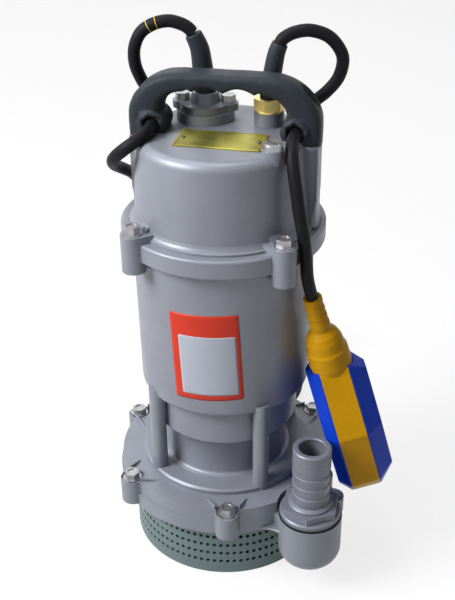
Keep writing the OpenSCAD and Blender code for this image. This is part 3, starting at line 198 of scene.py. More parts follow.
def turned_lines(mat, low_mm, high_mm, pitch_mm, depth_mm):
    """Fine lines round a turned piece between two heights."""
    tree = mat.node_tree
    where = tree.nodes.new("ShaderNodeTexCoord")
    wave = tree.nodes.new("ShaderNodeTexWave")
    wave.bands_direction = "Z"
    # At scale 1 the node repeats every 2 pi / 20 of a metre
    wave.inputs["Scale"].default_value = 2 * math.pi / (20 * pitch_mm * MM)
    wave.inputs["Distortion"].default_value = 0.0
    tree.links.new(where.outputs["Object"], wave.inputs["Vector"])
    split = tree.nodes.new("ShaderNodeSeparateXYZ")
    tree.links.new(where.outputs["Object"], split.inputs[0])
    within = tree.nodes.new("ShaderNodeMath")
    within.operation = "COMPARE"
    within.inputs[1].default_value = (low_mm + high_mm) / 2 * MM
    within.inputs[2].default_value = (high_mm - low_mm) / 2 * MM
    tree.links.new(split.outputs["Z"], within.inputs[0])
    height = tree.nodes.new("ShaderNodeMath")
    height.operation = "MULTIPLY"
    tree.links.new(wave.outputs["Fac"], height.inputs[0])
    tree.links.new(within.outputs[0], height.inputs[1])
    bump = tree.nodes.new("ShaderNodeBump")
    bump.inputs["Strength"].default_value = 0.9
    bump.inputs["Distance"].default_value = depth_mm * MM
    tree.links.new(height.outputs[0], bump.inputs["Height"])
    shader = tree.nodes["Principled BSDF"]
    before = shader.inputs["Normal"].links[0].from_socket
    tree.links.new(before, bump.inputs["Normal"])
    tree.links.new(bump.outputs["Normal"], shader.inputs["Normal"])


turned_lines(MATERIALS["nipple"], 110, 123, 1.9, 0.35)
for look, names in LOOKS.items():
    for name in names:
        obj = NODES[name]
        obj.data.materials.clear()
        obj.data.materials.append(MATERIALS[look])


# ---------------------------------------------------------------- helpers for pieces
def mesh_piece(name, verts, faces, material, body="pump", smooth=True):
    """A mesh object that rides on a body."""
    mesh = bpy.data.meshes.new(name)
    mesh.from_pydata([tuple(v) for v in verts], [], faces)
    mesh.update()
    obj = bpy.data.objects.new(name, mesh)
    bpy.context.scene.collection.objects.link(obj)
    mesh.materials.append(material)
    if smooth:
        mesh.shade_smooth()
    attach(obj, body)
    return obj


def tube(name, points, diameter, material, body="pump"):
    """A round cord as one open curve through the points."""
    curve = bpy.data.curves.new(name, "CURVE")
    curve.dimensions = "3D"
    curve.bevel_depth = diameter / 2
    curve.bevel_resolution = 5
    curve.resolution_u = 1
    curve.use_fill_caps = True
    line = curve.splines.new("POLY")
    line.points.add(len(points) - 1)
    for point, place in zip(line.points, points):
        point.co = (*place, 1)
    obj = bpy.data.objects.new(name, curve)
    bpy.context.scene.collection.objects.link(obj)
    curve.materials.append(material)
    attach(obj, body)
    return obj


def on_route(route, steps=8):
    """Points of a Catmull-Rom line through the route."""
    points = []
    last = len(route) - 1
    for i in range(last):
        a, b = route[max(i - 1, 0)], route[i]
        c, d = route[i + 1], route[min(i + 2, last)]
        for k in range(steps):
            t = k / steps
            points.append(0.5 * (2 * b + (c - a) * t + (2 * a - 5 * b + 4 * c - d) * t * t
                                 + (3 * b - a - 3 * c + d) * t ** 3))
    points.append(route[-1])
    return points


# ---------------------------------------------------------------- cables
CABLE = 8.8 * MM
POWER_ROUTE = [mm(*p) for p in (
    (-19.4, 29.05, 394.8), (-22.5, 29.3, 398.2), (-28, 29.8, 401), (-36, 30.2, 402.6), (-46, 30.5, 400.4),
    (-54.5, 31, 394.5), (-59.3, 31.5, 384), (-59.4, 32.5, 372), (-55.5, 34, 360.5), (-50, 35, 350.5),
    (-45.5, 32, 343.5), (-43.2, 25, 340.8), (-44.1, 16, 340.3), (-46.6, 4, 340.3), (-49, -7, 340.2),
    (-52.5, -15, 339.2), (-58.5, -20.5, 336), (-66, -20.5, 330.5), (-72.5, -14, 323), (-75.5, -3, 315),
    (-75, 10, 307), (-71, 23, 299), (-66, 36, 290), (-62.5, 46, 279), (-61.5, 51, 266),
    (-61, 53.5, 240), (-60, 56, 205), (-58.5, 60, 165), (-57.5, 64, 125), (-57, 69, 95), (-57, 73, 65),
    (-57.5, 78.5, 38), (-58.2, 90, 15), (-59.5, 106, 5.4), (-61, 124, 4.5), (-62, 144, 4.5),
    (-62, 158, 4.5), (-62, 172, 4.5))]
TAIL_ROUTE = [mm(*p) for p in (
    (-66.7, 172, 32.7), (-66.7, 184, 32.9), (-64, 199, 36), (-56, 211.5, 41), (-44, 218.5, 46),
    (-30, 220, 51.5), (-17, 220, 55), (-8, 220, 55.4))]
FLOAT_LOOP_ROUTE = [mm(*p) for p in (
    (39.4, 14, 391), (41.5, 14.2, 394.3), (49, 15, 398), (60.3, 16, 398.8), (73, 16.5, 393.6),
    (81.6, 17, 381), (80, 18, 367), (72.5, 19.5, 356), (63, 20.5, 347.6), (56.6, 17, 342), (53.6, 8, 340.4),
    (51, -6, 340.3), (48, -22.9, 340.3))]
FLOAT_ROUTE = [mm(*p) for p in (
    (47, -27.5, 340.3), (45.6, -35, 339.6), (45, -43, 335.5), (46, -49.5, 325.5), (47.8, -53.5, 313),
    (50, -56, 298), (52.8, -57, 283), (55, -55.5, 266), (56.8, -51.9, 248), (61.6, -46.6, 227))]

COIL_MIDDLE = mm(4, 172, 0)
COIL_OUTER = 66 * MM
COIL_PITCH = 9.4 * MM
COIL_TURNS = 4
COIL_LAYERS = 4
COIL_LOW = 4.5 * MM
COIL_STEPS = 48


def coil_point(turn):
    """The coil's centreline after so many turns: in and out at a steady rate, up where it reverses."""
    end = COIL_TURNS * COIL_LAYERS - 0.25
    along = (turn + 0.25) % (2 * COIL_TURNS)
    fold = end - turn if turn > end else along if along < COIL_TURNS else 2 * COIL_TURNS - along
    radius = COIL_OUTER + COIL_PITCH * (0.25 - fold)
    layer = math.floor(turn / COIL_TURNS)
    part = turn - layer * COIL_TURNS
    height = min(layer, COIL_LAYERS - 1)
    if layer < COIL_LAYERS - 1 and part > COIL_TURNS - 0.5:
        rise = (part - COIL_TURNS + 0.5) / 0.5
        height += rise * rise * (3 - 2 * rise)
    angle = math.radians(180 - 360 * turn)
    across = Vector((radius * math.cos(angle), radius * math.sin(angle), 0))
    return COIL_MIDDLE + across + Vector((0, 0, COIL_LOW + COIL_PITCH * height))


coil_line = [coil_point(i / COIL_STEPS) for i in range(COIL_TURNS * COIL_LAYERS * COIL_STEPS + 1)]
power_line = on_route(POWER_ROUTE) + coil_line[1:] + on_route(TAIL_ROUTE)[1:]
power_cable = tube("power_cord", power_line, CABLE, MATERIALS["rubber"])
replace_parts(power_cable, "power_cable", "power_coil", "power_tail")
float_loop = tube("float_cord_loop", on_route(FLOAT_LOOP_ROUTE), CABLE, MATERIALS["rubber"])
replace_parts(float_loop, "float_loop")
float_drop = tube("float_cord_drop", on_route(FLOAT_ROUTE), CABLE, MATERIALS["rubber"], "float")
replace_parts(float_drop, "float_cable")


def loft(name, rings, material, body="pump", smooth=True):
    """A closed skin through rings of equally many points."""
    n = len(rings[0])
    verts = [v for ring in rings for v in ring]
    faces = [tuple(range(n - 1, -1, -1)), tuple(range((len(rings) - 1) * n, len(rings) * n))]
    for k in range(len(rings) - 1):
        for i in range(n):
            j = (i + 1) % n
            faces.append((k * n + i, k * n + j, (k + 1) * n + j, (k + 1) * n + i))
    # Six times the enclosed volume: below zero, the faces look inwards
    middle = sum(verts, Vector()) / len(verts)
    volume = sum((verts[f[0]] - middle).dot((verts[f[i]] - middle).cross(verts[f[i + 1]] - middle))
                 for f in faces for i in range(1, len(f) - 1))
    if volume < 0:
        faces = [f[::-1] for f in faces]
    return mesh_piece(name, verts, faces, material, body, smooth)


SLEEVE_STRAIGHT = 0.25
SLEEVE_STEPS = 40
SLEEVE_SIDES = 32
LIP_STEPS = 5


def kink_sleeve(name, route, low_r, high_r, lip):
    """A smooth sleeve: straight for its first quarter, then tapered, with a rounded lip."""
    points = on_route(route, SLEEVE_STEPS)
    last = len(points) - 1
    # Any direction that isn't along the sleeve
    side = Vector((0.31, 0.52, 0.11)).normalized()
    rings = []
    for i, point in enumerate(points):
        taper = max(0.0, (i / last - SLEEVE_STRAIGHT) / (1 - SLEEVE_STRAIGHT))
        radius = low_r + (high_r - low_r) * taper ** 1.6
        past_lip = (i - last) / LIP_STEPS + 1
        if past_lip > 0:
            radius -= lip * (1 - math.sqrt(1 - past_lip ** 2))
        along = (points[min(i + 1, last)] - points[max(i - 1, 0)]).normalized()
        side = (side - side.dot(along) * along).normalized()
        other = along.cross(side)
        rings.append([point + (side * math.cos(a) + other * math.sin(a)) * radius
                      for a in (2 * math.pi * j / SLEEVE_SIDES for j in range(SLEEVE_SIDES))])
    return loft(name, rings, MATERIALS["sleeve"])


power_sleeve = kink_sleeve("power_kink_sleeve", [mm(*p) for p in (
    (-11.5, 29, 342.2), (-11.5, 29, 357), (-13, 29, 371), (-14.8, 29, 384), (-19, 29, 394))],
    7.4 * MM, 5.8 * MM, 1.0 * MM)
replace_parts(power_sleeve, "power_sleeve")
float_sleeve = kink_sleeve("float_kink_sleeve", [mm(*p) for p in (
    (32.5, 14, 342.8), (32.5, 14, 358.8), (34.6, 14, 372), (36.8, 14, 384), (39.4, 14, 391))],
    6.5 * MM, 5.4 * MM, 0.7 * MM)
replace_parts(float_sleeve, "float_sleeve")

TIE_TURN = math.radians(-50)
# The coil reaches from 27.3 to 71.8 mm here, and 37.1 mm up
TIE_IN, TIE_OUT, TIE_LOW, TIE_HIGH = 27.0, 72.1, 0.2, 37.4
TIE_T, TIE_W, TIE_CORNER = 1.2, 5.0, 4.0


def tie_ring(out, up, way_out, way_up):
    """The strap's section at a point of its arch, in millimetres; way_* is the way outwards."""
    ring = []
    for depth, side in ((0, -1), (TIE_T * 0.6, -1), (TIE_T, -0.7), (TIE_T, 0.7), (TIE_T * 0.6, 1), (0, 1)):
        x, y = out + way_out * depth, side * TIE_W / 2
        ring.append(COIL_MIDDLE + mm(x * math.cos(TIE_TURN) - y * math.sin(TIE_TURN),
                                     x * math.sin(TIE_TURN) + y * math.cos(TIE_TURN), up + way_up * depth))
    return ring


def coil_strap():
    """A strap that arches over the coil with round shoulders."""
    rings = [tie_ring(TIE_IN, TIE_LOW, -1, 0)]
    for centre, start in ((TIE_IN + TIE_CORNER, 180), (TIE_OUT - TIE_CORNER, 90)):
        for i in range(9):
            a = math.radians(start - 90 * i / 8)
            rings.append(tie_ring(centre + TIE_CORNER * math.cos(a),
                                  TIE_HIGH - TIE_CORNER + TIE_CORNER * math.sin(a), math.cos(a), math.sin(a)))
    rings.append(tie_ring(TIE_OUT, TIE_LOW, 1, 0))
    return loft("coil_strap", rings, MATERIALS["rubber"])


coil_tie = coil_strap()
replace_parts(coil_tie, "coil_tie")


# ---------------------------------------------------------------- handle and its pads
HANDLE_TURN = math.radians(-12)
HANDLE_SHIFT = 2.2
HANDLE_W = 22.0
HANDLE_TOP = 376.5
GRIP_LOW, FINGER_PITCH, FINGER_DEPTH = 363.6, 21.0, 3.8
EYE_AT, EYE_Z, EYE_R, EYE_BOSS_R = 49.3, 340.3, 5.6, 10.0
SCREW_AT, SCREW_LOW, SCREW_HEAD_Z, SCREW_R, SCREW_HEAD_R = 57.5, 320.0, 345.2, 3.3, 6.3
# The right half from its foot to the grip, outside and inside
HANDLE_OUTER = [(66.2, 331), (66.2, 348), (63.5, 357), (59.2, 363.5), (53, 369.2), (45.5, 373.4), (38, 375.8)]
HANDLE_INNER = [(43.5, 331), (43, 348), (41.5, 354.5), (39, 358.5), (35.5, 361.5), (31, 363.2), (27.5, 363.6)]
HANDLE_STEPS = 5
HANDLE_SIDES = 28
GRIP_HALF, GRIP_STEPS = 24.0, 64
# The grip's outside is longer than its inside by this factor
GRIP_FLARE = 1.2


def squarish(angle, power):
    """Cosine and sine drawn out towards a square's corners; the lower the power, the more."""
    return [math.copysign(abs(value) ** power, value) for value in (math.cos(angle), math.sin(angle))]


def handle_place(x, y, z):
    """A point in the handle's own frame, in millimetres, to the row frame."""
    c, s = math.cos(HANDLE_TURN), math.sin(HANDLE_TURN)
    x += HANDLE_SHIFT
    return mm(x * c - y * s, x * s + y * c, z)


def post(name, x, z0, z1, radius, level=False, turns=48):
    """A round tool for cutting or adding, upright or level through the handle."""
    rings = []
    for end in (z0, z1):
        ring = []
        for i in range(turns):
            a = 2 * math.pi * i / turns
            ring.append(handle_place(x + radius * math.cos(a), -end, EYE_Z + radius * math.sin(a)) if level
                        else handle_place(x + radius * math.cos(a), radius * math.sin(a), end))
        rings.append(ring)
    return loft(name, rings, MATERIALS["handle"])


def combine(target, tool, operation):
    """Applies a boolean with the tool, and removes the tool."""
    change = target.modifiers.new("change", "BOOLEAN")
    change.operation = operation
    change.solver = "EXACT"
    change.object = tool
    graph = bpy.context.evaluated_depsgraph_get()
    mesh = bpy.data.meshes.new_from_object(target.evaluated_get(graph))
    target.modifiers.clear()
    target.data = mesh
    bpy.data.objects.remove(tool, do_unlink=True)


def handle_outline():
    """Pairs of an outer and an inner point, from the right foot over the grip to the left foot."""
    outer, inner = ([(p.x, p.y) for p in on_route([Vector((*point, 0)) for point in points], HANDLE_STEPS)]
                    for points in (HANDLE_OUTER, HANDLE_INNER))
    half = list(zip(outer, inner))
    grip = []
    for i in range(GRIP_STEPS + 1):
        x = GRIP_HALF - 2 * GRIP_HALF * i / GRIP_STEPS
        hollow = FINGER_DEPTH * abs(math.sin(math.pi * (x + FINGER_PITCH) / FINGER_PITCH))
        grip.append(((x * GRIP_FLARE, HANDLE_TOP), (x, GRIP_LOW + hollow)))
    other = [((-a[0], a[1]), (-b[0], b[1])) for a, b in reversed(half)]
    return half + grip + other


def carrying_handle():
    """The moulded handle: wide legs with cable eyes, and a grip with finger hollows."""
    rings = []
    for outer, inner in handle_outline():
        middle = ((outer[0] + inner[0]) / 2, (outer[1] + inner[1]) / 2)
        reach = ((outer[0] - inner[0]) / 2, (outer[1] - inner[1]) / 2)
        ring = []
        for j in range(HANDLE_SIDES):
            c, s = squarish(2 * math.pi * (j + 0.5) / HANDLE_SIDES, 0.55)
            ring.append(handle_place(middle[0] + reach[0] * c, -HANDLE_W / 2 * s, middle[1] + reach[1] * c))
        rings.append(ring)
    piece = loft("carrying_handle", rings, MATERIALS["handle"])
    for side in (-1, 1):
        boss = post("boss", side * EYE_AT, -HANDLE_W / 2, HANDLE_W / 2, EYE_BOSS_R, True)
        combine(piece, boss, "UNION")
    above = HANDLE_TOP + 5
    for side in (-1, 1):
        eye = post("eye", side * EYE_AT, -HANDLE_W, HANDLE_W, EYE_R, True)
        combine(piece, eye, "DIFFERENCE")
        hole = post("hole", side * SCREW_AT, SCREW_LOW, above, SCREW_R)
        combine(piece, hole, "DIFFERENCE")
        head = post("head", side * SCREW_AT, SCREW_HEAD_Z, above, SCREW_HEAD_R)
        combine(piece, head, "DIFFERENCE")
    piece.data.shade_smooth()
    return piece


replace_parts(carrying_handle(), "handle")

PAD_LOW, PAD_HIGH = 272.6, 331.6
PAD_AT, PAD_HALF_W, PAD_HALF_D = 59.2, 6.1, 11.1
# The foot spreads by so much into the flange, over so much height
FOOT_SPREAD, FOOT_HIGH = 2.2, 5.0
PAD_STEPS, PAD_SIDES = 24, 32


def cover_pad(name, side):
    """A pad on the cover under one of the handle's feet, straight down to the flange."""
    rings = []
    for i in range(PAD_STEPS + 1):
        height = PAD_LOW + (PAD_HIGH - PAD_LOW) * i / PAD_STEPS
        spread = FOOT_SPREAD * max(0.0, 1 - (height - PAD_LOW) / FOOT_HIGH) ** 2
        ring = []
        for j in range(PAD_SIDES):
            c, s = squarish(2 * math.pi * (j + 0.5) / PAD_SIDES, 0.4)
            ring.append(handle_place(side * (PAD_AT + (PAD_HALF_W + spread) * c),
                                     (PAD_HALF_D + spread) * s, height))
        rings.append(ring)
    return loft(name, rings, MATERIALS["silver"])


for number, side in enumerate((-1, 1)):
    cover_pad(f"cover_pad_{number}", side)


# ---------------------------------------------------------------- the frame's cast detail
PLATE_TOP, DISC_TOP, RING_LOW = 71.0, 75.5, 109.5
NECK_R, NECK_FILLET, NECK_IN = 47.0, 3.2, 41.0
NECK_SUNK, NECK_FLARE = 0.5, 1.2
ARC_STEPS = 8
LUG_AT = 84.0
RIB_T, RIB_SUNK = 1.6, 0.6
# The rib starts so far in and beside the lug's centre, and runs so far inwards and sideways
RIB_IN, RIB_BESIDE = 2.5, 8.6
RIB_RUN, RIB_ASIDE = 12.0, 6.0
RIB_HIGH, RIB_END = 3.2, 0.15
RIB_BEVEL = 0.5
RIB_STEPS = 12


def revolve(name, profile, material, turns=128):
    """A ring about the pump's axis from a closed profile of (radius, height) in millimetres."""
    n = len(profile)
    verts, faces = [], []
    for i in range(turns):
        a = 2 * math.pi * i / turns
        verts += [mm(radius * math.cos(a), radius * math.sin(a), z) for radius, z in profile]
    for i in range(turns):
        k = (i + 1) % turns
        faces += [(i * n + j, k * n + j, k * n + (j + 1) % n, i * n + (j + 1) % n) for j in range(n)]
    return mesh_piece(name, verts, faces, material)


def neck_skin():
    """The neck's outside, with a small fillet on the disc and a flare under the ring."""
    low = DISC_TOP - NECK_SUNK
    profile = [(NECK_IN, low), (NECK_R + NECK_FILLET, low)]
    for i in range(ARC_STEPS + 1):
        a = math.radians(90 * i / ARC_STEPS)
        profile.append((NECK_R + NECK_FILLET * (1 - math.sin(a)), DISC_TOP + NECK_FILLET * (1 - math.cos(a))))
    profile += [(NECK_R, RING_LOW - NECK_FLARE), (NECK_R + NECK_FLARE, RING_LOW), (NECK_IN, RING_LOW)]
    return revolve("neck_skin", profile, MATERIALS["silver"])


neck_skin()


def plate_rib(name, lug_angle, side):
    """A thin rib on the plate that runs from a bolt's lug inwards, and sinks into the plate."""
    a = math.radians(lug_angle)
    half, low = RIB_T / 2, PLATE_TOP - RIB_SUNK
    # The rib's own left and right, square to its run
    run = Vector((-RIB_RUN, side * RIB_ASIDE)).normalized()
    square = Vector((-run.y, run.x))
    rings = []
    for i in range(RIB_STEPS + 1):
        t = i / RIB_STEPS
        out, across = LUG_AT - RIB_IN - RIB_RUN * t, side * (RIB_BESIDE + RIB_ASIDE * t)
        high = PLATE_TOP + RIB_HIGH * (1 - t) ** 0.8 + RIB_END
        ring = []
        for w, z in ((-half, low), (-half, high - RIB_BEVEL), (-half * 0.5, high), (half * 0.5, high),
                     (half, high - RIB_BEVEL), (half, low)):
            x, y = out + square.x * w, across + square.y * w
            ring.append(mm(x * math.cos(a) - y * math.sin(a), x * math.sin(a) + y * math.cos(a), z))
        rings.append(ring)
    return loft(name, rings, MATERIALS["silver"], smooth=False)


# All lugs but the one at -30, where the discharge socket stands
for number, lug_angle in enumerate((-150, -90, 30, 90, 150)):
    for side, letter in ((-1, "a"), (1, "b")):
        plate_rib(f"plate_rib_{number}{letter}", lug_angle, side)

WEB_LOW, WEB_HIGH = 48.6, 50.8
WEB_START, WEB_END, WEB_SAG = Vector((22.0, -79.5)), Vector((39.2, -84.4)), 1.6
WEB_BACK = Vector((6.0, 13.0))
# The edge is bevelled by so much in height, and by this share of the way back
WEB_BEVEL, WEB_BEVEL_BACK = 0.6, 0.04
WEB_STEPS = 16


def socket_web():
    """The thin web that joins the casing to the discharge socket, with a rounded hollow edge."""
    rings = []
    square = Vector((WEB_END.y - WEB_START.y, WEB_START.x - WEB_END.x)).normalized()
    for i in range(WEB_STEPS + 1):
        t = i / WEB_STEPS
        edge = WEB_START.lerp(WEB_END, t) - square * (WEB_SAG * math.sin(math.pi * t))
        bevel, back = edge + WEB_BACK * WEB_BEVEL_BACK, edge + WEB_BACK
        rings.append([mm(*back, WEB_LOW), mm(*bevel, WEB_LOW), mm(*edge, WEB_LOW + WEB_BEVEL),
                      mm(*edge, WEB_HIGH - WEB_BEVEL), mm(*bevel, WEB_HIGH), mm(*back, WEB_HIGH)])
    return loft("socket_web", rings, MATERIALS["casing"], smooth=False)


socket_web()


# ---------------------------------------------------------------- plates and rings
SHELL_LOW_Z, SHELL_HIGH_Z = 145, 258.4
SHELL_LOW_R, SHELL_HIGH_R = 63.4, 65.0
LABEL_AT = -102.4
LABEL_Z = 190.9
LABEL_TILT = 2.8
LABEL_W, LABEL_H = 50.6, 70.6
PANEL_W, PANEL_H = 41.8, 48.9
PANEL_RIGHT, PANEL_DOWN = 1.5, 6.4


def shell_point(across, height, lift):
    """A point on the shell: millimetres across from the label's middle and up from it."""
    tilt = math.radians(LABEL_TILT)
    u = across * math.cos(tilt) - height * math.sin(tilt)
    z = LABEL_Z + across * math.sin(tilt) + height * math.cos(tilt)
    share = (z - SHELL_LOW_Z) / (SHELL_HIGH_Z - SHELL_LOW_Z)
    r = SHELL_LOW_R + (SHELL_HIGH_R - SHELL_LOW_R) * share + lift
    angle = math.radians(LABEL_AT) + u / r
    return mm(r * math.cos(angle), r * math.sin(angle), z)


def shell_patch(name, width, height, across, up_by, lift, thick, material, corner=1.2):
    """A thin sheet with rounded corners that follows the shell."""
    columns, rows = 28, 34
    verts = []
    for layer in (lift, lift + thick):
        for j in range(rows + 1):
            for i in range(columns + 1):
                u = (i / columns - 0.5) * width
                v = (j / rows - 0.5) * height
                # Draws the corners in to a round
                over = (abs(u) - width / 2 + corner, abs(v) - height / 2 + corner)
                if over[0] > 0 and over[1] > 0:
                    reach = math.hypot(*over)
                    if reach > corner:
                        u -= math.copysign(over[0] * (1 - corner / reach), u)
                        v -= math.copysign(over[1] * (1 - corner / reach), v)
                verts.append(shell_point(across + u, up_by + v, layer))
    per = (columns + 1) * (rows + 1)
    faces = []
    for j in range(rows):
        for i in range(columns):
            a = j * (columns + 1) + i
            b = a + columns + 1
            faces.append((a, b, b + 1, a + 1))
            faces.append((per + a, per + a + 1, per + b + 1, per + b))
    rim = (list(range(columns + 1))
           + [(columns + 1) * (j + 1) + columns for j in range(rows)]
           + [(columns + 1) * rows + i for i in range(columns - 1, -1, -1)]
           + [(columns + 1) * j for j in range(rows - 1, 0, -1)])
    for a, b in zip(rim, rim[1:] + rim[:1]):
        faces.append((a, b, per + b, per + a))
    return mesh_piece(name, verts, faces, material)


label_red = plastic("label_red", (0.6, 0.032, 0.01), 0.4, 0.05)
label_pale = plastic("label_pale", (0.42, 0.46, 0.53), 0.4, 0.05)
shell_patch("label_sheet", LABEL_W, LABEL_H, 0, 0, 0.04, 0.16, label_red)
shell_patch("label_panel", PANEL_W, PANEL_H, PANEL_RIGHT, -PANEL_DOWN, 0.22, 0.05, label_pale, 0.6)

PLATE_AT = (-1.0, -17.2)
PLATE_W, PLATE_H = 60.0, 31.0
PLATE_TURN = math.radians(-13)
PLATE_T = 0.6
PLATE_CORNER = 2.2
BORDER_HIGH = 0.15
RIVET_IN, RIVET_R, RIVET_HIGH = 4.0, 1.7, 1.1
COVER_TOP = 335.0


def plate_place(x, y, z):
    """A point in the plate's own frame, in millimetres, to the row frame."""
    c, s = math.cos(PLATE_TURN), math.sin(PLATE_TURN)
    return mm(PLATE_AT[0] + x * c - y * s, PLATE_AT[1] + x * s + y * c, z)


def rounded(width, height, corner, steps=6):
    """Corner points of a rounded rectangle, anticlockwise."""
    points = []
    for k, (sx, sy) in enumerate(((1, -1), (1, 1), (-1, 1), (-1, -1))):
        for i in range(steps + 1):
            a = math.radians(90 * (k - 1) + 90 * i / steps)
            points.append((sx * (width / 2 - corner) + corner * math.cos(a),
                           sy * (height / 2 - corner) + corner * math.sin(a)))
    return points


def name_plate():
    """The bare plate: flat, with a low raised border."""
    gold = bare_metal("plate_gold", (0.36, 0.34, 0.05), 0.4, (1, 14, 1))
    tarnish = [(0.34, (0.2, 0.19, 0.035)), (0.52, (0.36, 0.33, 0.045)), (0.68, (0.48, 0.44, 0.065))]
    ramp(gold, texture(gold, 38, 2), tarnish, "Base Color")
    top = COVER_TOP + PLATE_T
    loops = []
    for inset, z in ((0, COVER_TOP), (0, top), (1.0, top), (1.3, top + BORDER_HIGH), (1.7, top + BORDER_HIGH),
                     (2.0, top)):
        outline = rounded(PLATE_W - 2 * inset, PLATE_H - 2 * inset, max(PLATE_CORNER - inset, 0.3))
        loops.append([plate_place(x, y, z) for x, y in outline])
    return loft("name_plate", loops, gold, smooth=False)


def dome(name, centre, radius, height, material, turns=24, rings=5):
    """A rivet's low domed head on a horizontal face."""
    verts, faces = [], []
    for k in range(rings):
        a = math.pi / 2 * k / rings
        for i in range(turns):
            b = 2 * math.pi * i / turns
            reach = radius * math.cos(a)
            verts.append(centre + Vector((reach * math.cos(b), reach * math.sin(b), height * math.sin(a))))
    verts.append(centre + Vector((0, 0, height)))
    for k in range(rings - 1):
        for i in range(turns):
            j = (i + 1) % turns
            faces.append((k * turns + i, k * turns + j, (k + 1) * turns + j, (k + 1) * turns + i))
    top = len(verts) - 1
    faces += [((rings - 1) * turns + i, (rings - 1) * turns + (i + 1) % turns, top) for i in range(turns)]
    faces.append(tuple(range(turns - 1, -1, -1)))
    return mesh_piece(name, verts, faces, material)


name_plate()
for number, side in enumerate((-1, 1)):
    place = plate_place(side * (PLATE_W / 2 - RIVET_IN), 0, COVER_TOP + PLATE_T)
    dome(f"plate_rivet_{number}", place, RIVET_R * MM, RIVET_HIGH * MM, MATERIALS["dark_screw"])


def cord_ring(name, near, route, width, thick, material):
    """A thin band round a cord, at the route's point nearest to the given one."""
    points = on_route(route, 16)
    k = min(range(1, len(points) - 1), key=lambda i: (points[i] - near).length)
    along = (points[k + 1] - points[k - 1]).normalized()
    side = along.orthogonal().normalized()
    other = along.cross(side)
    verts, faces = [], []
    turns = 40
    sunk, proud = CABLE / 2 - 0.1 * MM, CABLE / 2 + thick
    profile = ((sunk, -width / 2), (proud, -width / 2), (proud, width / 2), (sunk, width / 2))
    for i in range(turns):
        a = 2 * math.pi * i / turns
        out = side * math.cos(a) + other * math.sin(a)
        verts += [points[k] + out * r + along * t for r, t in profile]
    for i in range(turns):
        j = (i + 1) % turns
        for m in range(4):
            n = (m + 1) % 4
            faces.append((4 * i + m, 4 * j + m, 4 * j + n, 4 * i + n))
    return mesh_piece(name, verts, faces, material, smooth=False)


MARK_W, MARK_T = 0.45 * MM, 0.12 * MM
for number, near in enumerate((mm(-49.2, 30, 400), mm(-43.7, 30, 401.4))):
    cord_ring(f"cord_mark_{number}", near, POWER_ROUTE, MARK_W, MARK_T, MATERIALS["ring_yellow"])


# ---------------------------------------------------------------- stage, camera and light
# The camera was fitted to the photograph's circles
IMAGE_W, IMAGE_H = 455, 600
FOCAL_PX = 1053.19
SENSOR = 36.0
EYE = mm(2.169, -677.92, 593.86)
PITCH = math.radians(30.0)
ROLL = math.radians(-0.699)

forward = Vector((0, math.cos(PITCH), -math.sin(PITCH)))
right = Vector((1, 0, 0))
up = right.cross(forward)
cam_right = math.cos(ROLL) * right + math.sin(ROLL) * up
cam_up = math.cos(ROLL) * up - math.sin(ROLL) * right
camera_data = bpy.data.cameras.new("camera")
camera_data.sensor_width = SENSOR
camera_data.lens = FOCAL_PX * SENSOR / max(IMAGE_W, IMAGE_H)
camera_data.clip_start = 0.01
camera = bpy.data.objects.new("camera", camera_data)
bpy.context.scene.collection.objects.link(camera)
turn = Matrix((cam_right, cam_up, -forward)).transposed()
camera.matrix_world = Matrix.Translation(EYE) @ turn.to_4x4()
bpy.context.scene.camera = camera


def seen_or_mirrored(tree, share=1.0):
    """A factor that is the given share to the camera, in mirrors and through glass, and else 0."""
    paths = tree.nodes.new("ShaderNodeLightPath")
    factor = paths.outputs["Is Camera Ray"]
    for ray in ("Is Glossy Ray", "Is Transmission Ray"):
        most = tree.nodes.new("ShaderNodeMath")
        most.operation = "MAXIMUM"
        tree.links.new(factor, most.inputs[0])
        tree.links.new(paths.outputs[ray], most.inputs[1])
        factor = most.outputs[0]
    part = tree.nodes.new("ShaderNodeMath")
    part.operation = "MULTIPLY"
    part.inputs[1].default_value = share
    tree.links.new(factor, part.inputs[0])
    return part.outputs[0]


def backdrop_material(name, color, seen_color, share):
    """A floor that looks nearly white and keeps the shadow. It lights the object as one of color."""
    mat = bpy.data.materials.new(name)
    mat.use_nodes = True
    tree = mat.node_tree
    shader = tree.nodes["Principled BSDF"]
    # This node's colours are its inputs 6 and 7 and its output 2
    choice = tree.nodes.new("ShaderNodeMix")
    choice.data_type = "RGBA"
    choice.inputs[6].default_value = (*color, 1)
    choice.inputs[7].default_value = (*seen_color, 1)
    tree.links.new(seen_or_mirrored(tree), choice.inputs[0])
    tree.links.new(choice.outputs[2], shader.inputs["Base Color"])
    shader.inputs["Roughness"].default_value = 0.9
    shader.inputs["Specular IOR Level"].default_value = 0.0
    white = tree.nodes.new("ShaderNodeEmission")
    mix = tree.nodes.new("ShaderNodeMixShader")
    tree.links.new(seen_or_mirrored(tree, share), mix.inputs["Fac"])
    tree.links.new(shader.outputs[0], mix.inputs[1])
    tree.links.new(white.outputs[0], mix.inputs[2])
    tree.links.new(mix.outputs[0], tree.nodes["Material Output"].inputs["Surface"])
    return mat


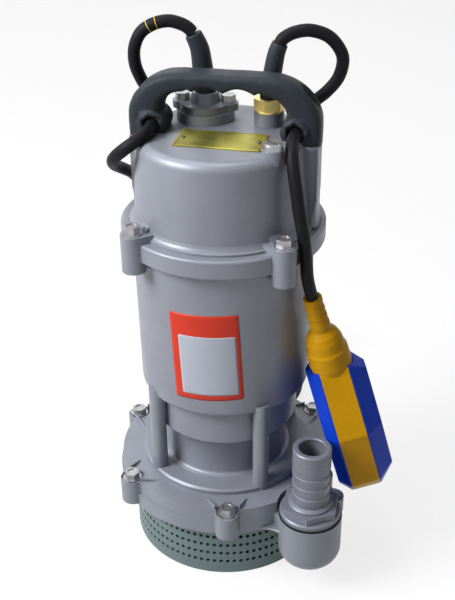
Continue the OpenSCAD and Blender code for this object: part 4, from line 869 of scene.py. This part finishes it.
FLOOR = 6.0
FLOOR_GREY, FLOOR_SEEN, FLOOR_WHITE_SHARE = (0.5,) * 3, (0.95,) * 3, 0.8
floor = bpy.data.objects.new("floor", bpy.data.meshes.new("floor"))
corners = [(-FLOOR, -FLOOR, 0), (FLOOR, -FLOOR, 0), (FLOOR, FLOOR, 0), (-FLOOR, FLOOR, 0)]
floor.data.from_pydata(corners, [], [(0, 1, 2, 3)])
bpy.context.scene.collection.objects.link(floor)
floor.data.materials.append(backdrop_material("floor_white", FLOOR_GREY, FLOOR_SEEN, FLOOR_WHITE_SHARE))


def area_light(name, place, target, size, power):
    """A white lamp that faces its target."""
    light = bpy.data.lights.new(name, "AREA")
    light.shape = "RECTANGLE"
    light.size, light.size_y = size
    light.energy = power
    obj = bpy.data.objects.new(name, light)
    bpy.context.scene.collection.objects.link(obj)
    obj.location = place
    obj.rotation_euler = (Vector(target) - Vector(place)).to_track_quat("-Z", "Y").to_euler()


area_light("key", (-1.3, -0.5, 1.3), (0, 0, 0.3), (0.8, 0.8), 44)
area_light("fill", (1.9, -1.2, 0.9), (0, 0, 0.2), (1.2, 1.4), 0.4)
area_light("top", (-0.3, 0.2, 2.4), (0, 0, 0.2), (1.4, 1.4), 21)
area_light("back", (-0.6, 1.9, 1.2), (0, 0, 0.2), (1.5, 1.2), 6)


def pale_world():
    """A world that lights the object faintly and looks white."""
    world = bpy.data.worlds.new("world")
    bpy.context.scene.world = world
    world.use_nodes = True
    tree = world.node_tree
    mix = tree.nodes.new("ShaderNodeMixShader")
    white = tree.nodes.new("ShaderNodeBackground")
    white.inputs["Color"].default_value = (1, 1, 1, 1)
    tree.links.new(seen_or_mirrored(tree), mix.inputs["Fac"])
    plain = tree.nodes["Background"]
    plain.inputs["Color"].default_value = (0.9, 0.92, 0.95, 1)
    plain.inputs["Strength"].default_value = 0.08
    tree.links.new(plain.outputs[0], mix.inputs[1])
    tree.links.new(white.outputs[0], mix.inputs[2])
    tree.links.new(mix.outputs[0], tree.nodes["World Output"].inputs["Surface"])


pale_world()
bpy.context.scene.view_settings.view_transform = "Standard"
